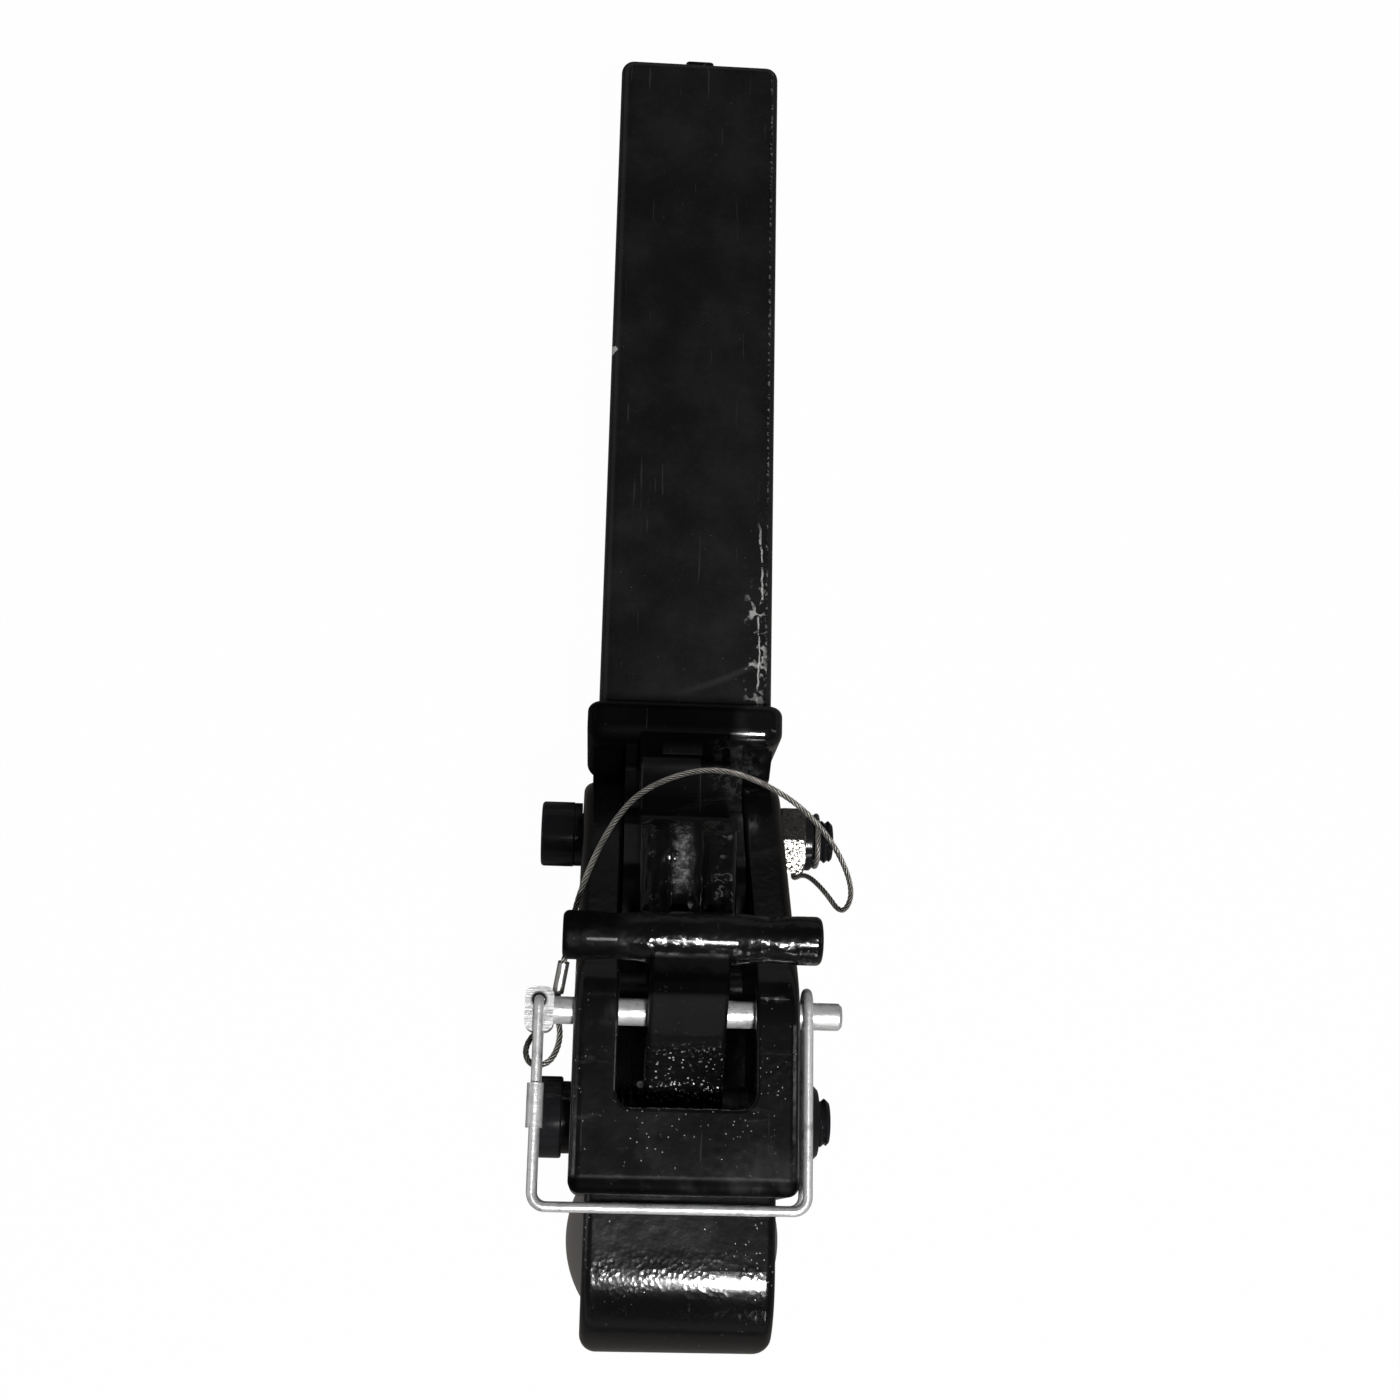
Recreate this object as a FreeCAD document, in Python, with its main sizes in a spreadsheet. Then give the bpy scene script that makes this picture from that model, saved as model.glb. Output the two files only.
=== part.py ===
import FreeCAD, Part
import math
import os
from types import SimpleNamespace
from FreeCAD import Placement, Rotation, Vector

# Pintle hook with a tow ball, on a solid square shank. X is to the right, Y to the rear, Z up.
# The origin is the centre of the receiver's hitch-pin hole, on the shank's axis.
# Forward distances are measured from the collar's rear face, heights from the shank's axis.

DIMENSIONS = (
    ("shank_width", 50.8, "square shank, across its flats"),
    ("shank_length", 216.0, "shank, from its rear end to the collar"),
    ("shank_corner", 4.0, "rounding of the shank's long edges"),
    ("hitch_hole_setback", 63.5, "hitch-pin hole, from the rear end"),
    ("hitch_hole_radius", 8.1, "hitch-pin hole"),
    ("flash_proud", 2.2, "forging flash left on the rear end"),
    ("flash_width", 9.0, "forging flash left on the rear end"),
    ("collar_inset", 0.25, "collar's sides inside the jaw's"),
    ("collar_height", 58.0, "collar, top to bottom"),
    ("collar_length", 12.0, "collar, front to rear"),
    ("collar_round", 2.8, "rounding of the collar's rear edges"),
    ("collar_front_round", 4.4, "rounding of the collar's front edges"),
    ("mast_inset", 2.35, "mast's and lower arm's sides inside the jaw's"),
    ("web_width", 34.0, "pivot web between the jaw's arms"),
    ("tongue_width", 26.0, "tongue on top of the web"),
    ("mast_front", 72.0, "front face of the mast"),
    ("shelf_height", -10.6, "shelf under the jaw's ears"),
    ("throat_round", 13.0, "rounding at the throat's foot"),
    ("arm_top", -26.0, "ball seat on the lower arm"),
    ("arm_thickness", 24.0, "lower arm at the ball"),
    ("heel_depth", -42.0, "underside of the mast behind the arm"),
    ("heel_round", 40.0, "curve from the mast's underside to the arm's"),
    ("heel_reach", 22.0, "where that curve meets the arm, from the mast's front"),
    ("arm_rim_start", 30.0, "where the arm's rounded rim begins, from the mast's front"),
    ("arm_edge_round", 3.0, "rounding of the lower arm's rim"),
    ("tongue_rise", 40.0, "where the tongue's block begins"),
    ("tongue_neck_height", 33.0, "tongue behind its block"),
    ("horn_radius", 61.6, "block's front, an arc round the jaw pivot"),
    ("horn_crown", 6.7, "block's flat top below that arc's highest point"),
    ("horn_front", 79.0, "front face of the tongue's block"),
    ("groove_radius", 3.6, "two grooves along the block"),
    ("groove_depth", 1.3, "two grooves along the block"),
    ("groove_shift", -2.2, "middle between the grooves, from the centre"),
    ("tongue_round", 3.2, "rounding of the block's top edges"),
    ("groove_spacing", 9.6, "between the two grooves"),
    ("pivot_forward", 36.6, "jaw pivot"),
    ("pivot_height", 8.6, "jaw pivot"),
    ("pivot_bolt_radius", 6.35, "jaw pivot bolt"),
    ("bush_wall", 2.2, "flanged bush in the web"),
    ("bush_length", 15.0, "each flanged bush"),
    ("running_clearance", 0.06, "radial play of a turning fit"),
    ("side_clearance", 0.5, "play beside a part that turns"),
    ("seat_clearance", 0.3, "gap at a loose seat"),
    ("ear_radius", 15.5, "rounded rear end of the jaw's arms"),
    ("jaw_width", 57.7, "upper jaw across its arms"),
    ("roof_rise", 16.0, "underside of the jaw's roof above the latch pivot"),
    ("roof_thickness", 11.5, "roof over the latch boss"),
    ("block_rear", 88.0, "rear edge of the flat top"),
    ("block_front", 138.5, "front edge of the flat top"),
    ("block_drop", 7.0, "underside of the jaw's block below the latch pivot"),
    ("arm_knee_forward", 100.0, "where the arms meet the block below"),
    ("slot_front", 117.5, "front end of the slot in the flat top"),
    ("slot_corner", 4.0, "slot's corner rounding"),
    ("shoulder_round", 22.0, "rounding where the arms meet the flat top"),
    ("brow_round", 2.4, "rounding of the flat top's front edge"),
    ("slot_rim_round", 1.2, "rounding of the slot's rim"),
    ("cavity_front", 133.5, "cavity round the latch boss"),
    ("jaw_edge_round", 3.0, "rounding of the jaw's edges"),
    ("beak_width", 49.4, "beak over the ball"),
    ("beak_step", 17.0, "beak's top below the flat top"),
    ("beak_front", 178.5, "front of the beak"),
    ("beak_tip", 33.0, "lowest point of the beak"),
    ("beak_curve", 27.0, "radius of the beak's front curve"),
    ("beak_lip", 2.0, "rounding of the beak's lip"),
    ("beak_corner", 5.0, "beak's front corners, seen from above"),
    ("beak_edge_round", 2.5, "rounding of the beak's top edges"),
    ("ball_radius", 29.37, "tow ball"),
    ("ball_forward", 150.6, "tow ball's centre"),
    ("ball_height", 14.0, "tow ball's centre"),
    ("ball_flat_radius", 9.0, "flat on top of the ball"),
    ("ball_neck_radius", 17.0, "neck under the ball"),
    ("ball_flange_radius", 23.5, "flange that stands on the lower arm"),
    ("ball_flange_thickness", 6.0, "flange"),
    ("ball_shank_radius", 12.7, "ball's threaded shank"),
    ("ball_cover_gap", 1.0, "between the ball and the beak's hollow"),
    ("ball_washer_thickness", 5.0, "spring washer"),
    ("ball_washer_radius", 20.0, "spring washer"),
    ("ball_nut_flats", 38.1, "ball nut across its flats"),
    ("ball_nut_thickness", 16.0, "ball nut"),
    ("ball_shank_proud", 3.0, "shank below the nut"),
    ("latch_pivot_forward", 119.5, "latch pivot"),
    ("latch_pivot_height", 48.0, "latch pivot"),
    ("latch_bolt_radius", 6.35, "latch pivot bolt"),
    ("latch_boss_radius", 11.5, "boss round the latch bolt"),
    ("latch_width", 20.0, "latch stem"),
    ("latch_edge_round", 1.2, "rounding of the latch's edges"),
    ("handle_forward", 76.0, "T-handle's axis"),
    ("handle_rise", 17.0, "T-handle's axis above the safety pin's"),
    ("handle_radius", 6.15, "T-handle's ends"),
    ("handle_waist_radius", 5.7, "T-handle between its ends and its hub"),
    ("handle_hub_radius", 6.5, "T-handle's hub"),
    ("handle_hub_half", 11.0, "half the hub's length"),
    ("handle_length", 65.2, "T-handle, end to end"),
    ("handle_shift", 0.4, "T-handle's middle, from the latch's"),
    ("handle_end_length", 6.0, "thicker ends of the T-handle"),
    ("handle_end_round", 1.6, "rounding of the T-handle's ends"),
    ("nose_rear", 66.5, "rear end of the latch's nose"),
    ("nose_clearance", 0.4, "between the nose and the tongue's block"),
    ("jaw_head_radius", 9.5, "head of the jaw pivot bolt"),
    ("jaw_head_length", 9.8, "head of the jaw pivot bolt"),
    ("latch_head_radius", 10.5, "head of the latch pivot bolt"),
    ("latch_head_length", 6.4, "head of the latch pivot bolt"),
    ("head_socket_flats", 9.5, "hexagon socket in the heads"),
    ("head_socket_depth", 4.2, "hexagon socket in the heads"),
    ("head_round", 1.0, "rounding of the heads"),
    ("washer_thickness", 2.0, "washer under a bolt head"),
    ("washer_radius", 9.3, "washer under a bolt head"),
    ("nut_flats", 19.05, "jaw pivot nut across its flats"),
    ("nut_thickness", 7.4, "jaw pivot nut's hexagon"),
    ("nut_turn", 9.0, "angle the nut is turned"),
    ("nut_collar_radius", 8.6, "round collar of the nut"),
    ("nut_collar_length", 2.5, "round collar of the nut"),
    ("bolt_proud", 6.0, "jaw pivot bolt beyond the nut's collar"),
    ("cap_radius", 10.8, "round nut of the latch bolt"),
    ("cap_thickness", 7.2, "round nut of the latch bolt"),
    ("cap_round", 2.2, "rounding of the round nut"),
    ("cap_proud", 3.2, "latch bolt beyond its round nut"),
    ("spacer_radius", 9.2, "spacer bush beside the latch boss"),
    ("spring_wire_radius", 0.9, "latch spring's wire"),
    ("spring_coil_radius", 8.3, "latch spring, centre of its wire"),
    ("spring_turns", 2.25, "latch spring"),
    ("spring_leg", 11.0, "each leg of the latch spring"),
    ("pin_forward", 93.3, "safety pin's axis"),
    ("pin_rise", 18.0, "safety pin's axis above the latch pivot"),
    ("pin_radius", 3.5, "safety pin"),
    ("pin_tip_proud", 11.4, "safety pin's tip beyond the jaw"),
    ("pin_shoulder_proud", 5.15, "safety pin's head beyond the jaw"),
    ("pin_head_length", 7.4, "safety pin's head"),
    ("pin_head_width", 11.4, "safety pin's head"),
    ("pin_head_round", 2.4, "rounding of the safety pin's head"),
    ("pin_tip_chamfer", 0.8, "chamfer of the safety pin's tip"),
    ("notch_clearance", 0.7, "latch's notch round the safety pin"),
    ("bail_wire_radius", 1.25, "bail wire"),
    ("bail_front", 142.0, "bail's front run"),
    ("bail_left_gap", 8.95, "bail's left leg beyond the jaw"),
    ("bail_right_gap", 2.35, "bail's right leg beyond the jaw"),
    ("bail_corner", 3.6, "bend of the bail's corners"),
    ("bail_eye_clearance", 0.35, "between the bail and the pin"),
    ("bail_turn_forward", 92.5, "middle of the bail's turn behind the pin"),
    ("bail_hole_forward", 91.0, "bail's hole through the pin's head"),
    ("bail_hole_radius", 1.45, "bail's hole through the pin's head"),
    ("bail_end_gap", 0.6, "between the wire's two ends in the sleeve"),
    ("bail_hook", 1.8, "bends beside the head's hole"),
    ("sleeve_forward", 117.5, "middle of the bail's crimped sleeve"),
    ("sleeve_length", 11.0, "bail's crimped sleeve"),
    ("sleeve_wall", 0.8, "bail's crimped sleeve"),
    ("cable_radius", 0.8, "lanyard's twisted cable"),
    ("strand_spacing", 1.9, "between the two strands in a ferrule"),
    ("ferrule_length", 8.0, "pressed ferrule"),
    ("ferrule_wall", 0.7, "pressed ferrule round its strands"),
    ("pin_ferrule_back", 4.1, "ferrule's near end, from the corner of the eye on the bail"),
    ("bolt_ferrule_drop", 4.5, "ferrule's top, from the corner of the eye round the bolt"),
)

# The lanyard's route, chosen point by point: to the right, forward of the collar, and up.
# It starts in the ferrule beside the jaw, makes the eye on the bail, passes over both arms
# and the tongue, and ends in the ferrule under the eye round the jaw pivot bolt.
LANYARD_ROUTE = (
    (-31.95, 79.95, 61.27), (-34.4, 94.6, 57.2), (-40.1, 99.6, 57.0), (-41.3, 104.2, 61.6),
    (-39.0, 107.8, 66.2), (-34.0, 106.6, 66.8), (-31.8, 99.4, 61.6), (-34.0, 92.3, 59.8),
    (-31.1, 75.0, 64.6), (-28.4, 61.5, 67.2), (-20.8, 42.5, 60.4), (-11.0, 29.8, 50.4),
    (8.0, 21.6, 41.2), (27.0, 26.8, 35.0), (41.6, 37.4, 28.6), (50.8, 52.0, 18.6),
    (48.4, 59.0, 9.5), (43.6, 50.0, 3.0), (39.2, 43.2, -8.0), (36.5, 43.4, -21.0),
    (38.35, 38.0, -24.5), (40.2, 32.65, -21.5), (40.2, 32.65, -4.4), (40.2, 29.2, 3.5),
    (40.2, 29.2, 16.2), (40.2, 44.0, 16.2), (40.2, 44.0, 3.5), (40.2, 34.55, -4.4),
    (40.2, 34.55, -18.0),
)

# Part of the shorter run that a bend of the lanyard takes up.
CORD_REACH = 0.45

document = FreeCAD.newDocument("pintle_hook_and_tow_ball")
sheet = document.addObject("Spreadsheet::Sheet", "Sizes")
for row, (name, value, meaning) in enumerate(DIMENSIONS, start=1):
    sheet.set("A%d" % row, meaning)
    sheet.set("B%d" % row, str(value))
    sheet.setAlias("B%d" % row, name)
document.recompute()
size = SimpleNamespace(**{name: float(sheet.get(name)) for name, value, meaning in DIMENSIONS})

# Places worked out from the driving sizes.
collar_y = size.hitch_hole_setback - size.shank_length
jaw_half = size.jaw_width / 2
jaw_gap = size.web_width + 2 * size.side_clearance
mast_width = size.jaw_width - 2 * size.mast_inset
collar_width = size.jaw_width - 2 * size.collar_inset
tongue_top = size.pivot_height + size.horn_radius - size.horn_crown
roof_underside = size.latch_pivot_height + size.roof_rise
block_top = roof_underside + size.roof_thickness
block_bottom = size.latch_pivot_height - size.block_drop
beak_top = block_top - size.beak_step
pin_height = size.latch_pivot_height + size.pin_rise
pin_tip = jaw_half + size.pin_tip_proud
pin_shoulder = -(jaw_half + size.pin_shoulder_proud)
handle_height = pin_height + size.handle_rise
bail_left = -(jaw_half + size.bail_left_gap)
bail_right = jaw_half + size.bail_right_gap
arm_bottom = size.arm_top - size.arm_thickness
ball_washer_bottom = arm_bottom - size.ball_washer_thickness
ball_nut_bottom = ball_washer_bottom - size.ball_nut_thickness
web_bore_radius = size.pivot_bolt_radius + size.running_clearance + size.bush_wall
nut_outer = jaw_half + size.seat_clearance + size.nut_thickness
nut_collar_outer = nut_outer + size.nut_collar_length


def bind(feature, **properties):
    """Ties properties of a feature to named sizes."""
    for name, expression in properties.items():
        feature.setExpression(name, expression)


def side(forward, height):
    """A point of a side view, whose sketch runs along Y and Z."""
    return Vector(collar_y - forward, height, 0)


def at(across, forward, height):
    """A point in space from its distance to the right, forward of the collar, and up."""
    return Vector(across, collar_y - forward, height)


def rounded_outline(corners):
    """Closed outline of lines and tangent arcs from (point, radius) corners."""
    edges = []
    arcs = []
    count = len(corners)
    for index, (point, radius) in enumerate(corners):
        before = (corners[index - 1][0] - point).normalize()
        after = (corners[(index + 1) % count][0] - point).normalize()
        half_angle = before.getAngle(after) / 2
        reach = radius / math.tan(half_angle) if radius else 0
        middle_way = (before + after).normalize() if radius else Vector()
        centre = point + middle_way * (radius / math.sin(half_angle)) if radius else point
        arcs.append((point + before * reach, centre - middle_way * radius, point + after * reach, radius))
    for index, (start, middle, end, radius) in enumerate(arcs):
        if radius:
            edges.append(Part.Arc(start, middle, end))
        edges.append(Part.LineSegment(end, arcs[(index + 1) % count][0]))
    return edges


def tangent_point(centre, radius, point, turn):
    """Where the line from a point touches a circle, on the side that turn (1 or -1) gives."""
    away = point - centre
    angle = math.acos(radius / away.Length)
    return centre + Rotation(Vector(0, 0, 1), math.degrees(turn * angle)).multVec(away.normalize() * radius)


def origin_plane(body, role):
    return next(item for item in body.Origin.OriginFeatures if item.Role == role)


def sketch_on(body, role, name, outlines, offset=0.0, across=0.0, up=0.0):
    """A sketch on one of the body's own planes, moved along the plane's normal by offset and in it."""
    sketch = body.newObject("Sketcher::SketchObject", name)
    sketch.AttachmentSupport = [(origin_plane(body, role), "")]
    sketch.MapMode = "FlatFace"
    sketch.AttachmentOffset = Placement(Vector(across, up, offset), Rotation())
    for outline in outlines:
        sketch.addGeometry(outline, False)
    return sketch


def pad(body, sketch, length, symmetric=False):
    """A pad whose length is an expression of named sizes."""
    feature = body.newObject("PartDesign::Pad", sketch.Name + "_pad")
    feature.Profile = sketch
    feature.SideType = "Symmetric" if symmetric else "One side"
    bind(feature, Length=length)
    return feature


def pocket(body, sketch, length, symmetric=False, reverse=False):
    """A pocket whose length is an expression of named sizes."""
    feature = body.newObject("PartDesign::Pocket", sketch.Name + "_pocket")
    feature.Profile = sketch
    feature.SideType = "Symmetric" if symmetric else "One side"
    feature.Reversed = reverse
    bind(feature, Length=length)
    return feature


def circle(centre, radius):
    return Part.Circle(centre, Vector(0, 0, 1), radius)


def hexagon(centre, flats, turn=0.0):
    """Outline of a hexagon from its width across flats and the angle it is turned."""
    radius = flats / math.sqrt(3)
    angles = [math.radians(turn + 60 * step) for step in range(6)]
    points = [centre + Vector(radius * math.cos(angle), radius * math.sin(angle), 0) for angle in angles]
    return [Part.LineSegment(points[step - 1], points[step]) for step in range(6)]


def edges_where(feature, test):
    """Names of a feature's edges whose middle and ends pass a test."""
    names = []
    for number, edge in enumerate(feature.Shape.Edges, start=1):
        middle = edge.valueAt((edge.FirstParameter + edge.LastParameter) / 2)
        if test(edge, middle):
            names.append("Edge%d" % number)
    return names


def fillet(body, feature, radius, test):
    """Rounds the edges of a feature that pass a test, by a named size."""
    document.recompute()
    rounding = body.newObject("PartDesign::Fillet", feature.Name + "_round")
    rounding.Base = (feature, edges_where(feature, test))
    bind(rounding, Radius=radius)
    document.recompute()
    return rounding


def turn(body, sketch, axis, cut=False, angle=360):
    """A full turn of a sketch round its own horizontal or vertical axis, added or cut away."""
    kind = "PartDesign::Groove" if cut else "PartDesign::Revolution"
    feature = body.newObject(kind, sketch.Name + "_turned")
    feature.Profile = sketch
    feature.ReferenceAxis = (sketch, [axis])
    feature.Angle = angle
    return feature


def turned_along_x(label, points, forward, height):
    """A body turned round a line along X from (across, radius) points."""
    body = document.addObject("PartDesign::Body", label)
    sketch = sketch_on(body, "XY_Plane", label + "_profile", [polygon(points)], height, 0, collar_y - forward)
    turn(body, sketch, "H_Axis")
    return body


def polygon(points):
    """Closed straight outline from (x, y) pairs."""
    corners = [Vector(x, y, 0) for x, y in points]
    return [Part.LineSegment(corners[index - 1], corners[index]) for index in range(len(corners))]


def make_hitch_body():
    """The forging: shank, collar, mast, lower arm with the ball seat, pivot web and tongue."""
    body = document.addObject("PartDesign::Body", "hitch_body")
    half = size.shank_width / 2
    square = rounded_outline([(Vector(x, z, 0), size.shank_corner)
                              for x, z in ((-half, -half), (half, -half), (half, half), (-half, half))])
    shank = sketch_on(body, "XZ_Plane", "shank", [square], -size.hitch_hole_setback)
    shank = pad(body, shank, "Sizes.shank_length + Sizes.collar_length / 2")
    rear_y = size.hitch_hole_setback
    shank = fillet(body, shank, "Sizes.shank_corner * 0.9", lambda edge, middle: abs(middle.y - rear_y) < 0.01)
    flash_half = size.flash_width / 2
    flash_top = half - size.shank_corner
    flash = rounded_outline([(Vector(x, z, 0), size.shank_corner / 3)
                             for x, z in ((-flash_half, 0), (flash_half, 0), (flash_half, flash_top),
                                          (-flash_half, flash_top))])
    flash = sketch_on(body, "XZ_Plane", "flash", [flash], -(rear_y + size.flash_proud))
    pad(body, flash, "Sizes.flash_proud + 1")
    wide = collar_width / 2
    tall = size.collar_height / 2
    block = rounded_outline([(Vector(x, z, 0), 2 * size.collar_round)
                             for x, z in ((-wide, -tall), (wide, -tall), (wide, tall), (-wide, tall))])
    collar = pad(body, sketch_on(body, "XZ_Plane", "collar", [block], -collar_y), "Sizes.collar_length")

    def on_rim(edge, middle, end):
        return abs(middle.y - end) < 0.01 and max(abs(middle.x), abs(middle.z)) > half + 0.5

    collar = fillet(body, collar, "Sizes.collar_round", lambda edge, middle: on_rim(edge, middle, collar_y))
    fillet(body, collar, "Sizes.collar_front_round",
           lambda edge, middle: on_rim(edge, middle, collar_y - size.collar_length))
    arm_front = size.ball_forward + mast_width / 2
    behind_ear = size.pivot_forward - size.ear_radius - 3.2
    mast = rounded_outline([
        (side(size.collar_length / 2, tall - 3), 0),
        (side(size.collar_length + 0.5, size.pivot_height + 6), 2),
        (side(behind_ear, size.pivot_height - 2), 2),
        (side(behind_ear, size.shelf_height), 8),
        (side(size.mast_front, size.shelf_height), 3),
        (side(size.mast_front, size.arm_top), size.throat_round),
        (side(arm_front, size.arm_top), 0),
        (side(arm_front, arm_bottom), 0),
        (side(size.mast_front + size.heel_reach, arm_bottom), size.heel_round),
        (side(size.collar_length + 10, size.heel_depth), 12),
        (side(size.collar_length / 2, -tall + 3), 0),
    ])
    mast = sketch_on(body, "YZ_Plane", "mast", [mast])
    mast = pad(body, mast, "Sizes.jaw_width - 2 * Sizes.mast_inset", symmetric=True)
    nose_y = collar_y - arm_front
    mast = fillet(body, mast, "Sizes.jaw_width / 2 - Sizes.mast_inset - 0.2",
                  lambda edge, middle: abs(middle.y - nose_y) < 0.01 and abs(middle.x) > mast_width / 2 - 0.01)

    def on_arm_rim(edge, middle):
        on_face = abs(middle.z - arm_bottom) < 0.01 or abs(middle.z - size.arm_top) < 0.01
        return on_face and middle.y < collar_y - size.mast_front - size.arm_rim_start

    mast = fillet(body, mast, "Sizes.arm_edge_round", on_arm_rim)
    web = rounded_outline([
        (side(size.collar_length / 2, tall - 6), 0),
        (side(size.pivot_forward - 8, tall - 6), 10),
        (side(size.tongue_rise + 12, size.tongue_neck_height + 10), 10),
        (side(size.mast_front, size.tongue_neck_height + 6), 5),
        (side(size.mast_front, size.shelf_height - 12), 0),
        (side(size.collar_length / 2, size.shelf_height - 12), 0),
    ])
    pad(body, sketch_on(body, "YZ_Plane", "web", [web]), "Sizes.web_width", symmetric=True)
    pivot = side(size.pivot_forward, size.pivot_height)
    front_rise = math.sqrt(size.horn_radius ** 2 - (size.horn_front - size.pivot_forward) ** 2)
    top_run = math.sqrt(size.horn_radius ** 2 - (tongue_top - size.pivot_height) ** 2)
    arc_front = side(size.horn_front, size.pivot_height + front_rise)
    arc_rear = side(size.pivot_forward + top_run, tongue_top)
    arc_middle = pivot + ((arc_front - pivot) + (arc_rear - pivot)).normalize() * size.horn_radius
    neck_rear = side(size.collar_length / 2, tall - 1)
    neck = side(size.tongue_rise - 5, size.tongue_neck_height)
    rise = side(size.tongue_rise, tongue_top - 6)
    crown = side(size.tongue_rise + 6, tongue_top)
    chin = side(size.horn_front, size.tongue_neck_height)
    throat = side(size.mast_front - 2, size.tongue_neck_height - 14)
    foot = side(size.collar_length / 2, 0)
    tongue = [Part.LineSegment(neck_rear, neck), Part.LineSegment(neck, rise), Part.LineSegment(rise, crown),
              Part.LineSegment(crown, arc_rear), Part.Arc(arc_rear, arc_middle, arc_front),
              Part.LineSegment(arc_front, chin), Part.LineSegment(chin, throat),
              Part.LineSegment(throat, foot), Part.LineSegment(foot, neck_rear)]
    tongue = pad(body, sketch_on(body, "YZ_Plane", "tongue", [tongue]), "Sizes.tongue_width", symmetric=True)

    def on_block_top(edge, middle):
        return abs(abs(middle.x) - size.tongue_width / 2) < 0.01 and middle.z > tongue_top - 0.01

    fillet(body, tongue, "Sizes.tongue_round", on_block_top)
    groove_height = tongue_top + size.groove_radius - size.groove_depth
    grooves = [circle(Vector(size.groove_shift + x, groove_height, 0), size.groove_radius)
               for x in (-size.groove_spacing / 2, size.groove_spacing / 2)]
    grooves = sketch_on(body, "XZ_Plane", "block_grooves", [[groove] for groove in grooves],
                        -(collar_y - size.tongue_rise + 10))
    pocket(body, grooves, "Sizes.horn_front - Sizes.tongue_rise", reverse=True)
    bore = sketch_on(body, "YZ_Plane", "pivot_bore", [[circle(pivot, web_bore_radius)]])
    pocket(body, bore, "Sizes.jaw_width", symmetric=True)
    hitch_hole = sketch_on(body, "YZ_Plane", "hitch_hole", [[circle(Vector(), size.hitch_hole_radius)]])
    pocket(body, hitch_hole, "Sizes.shank_width + 2", symmetric=True)
    seat = Vector(0, collar_y - size.ball_forward, 0)
    seat = sketch_on(body, "XY_Plane", "ball_seat", [[circle(seat, size.ball_shank_radius + size.seat_clearance)]],
                     size.arm_top + 1)
    pocket(body, seat, "Sizes.arm_thickness + 4")
    return body


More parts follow.
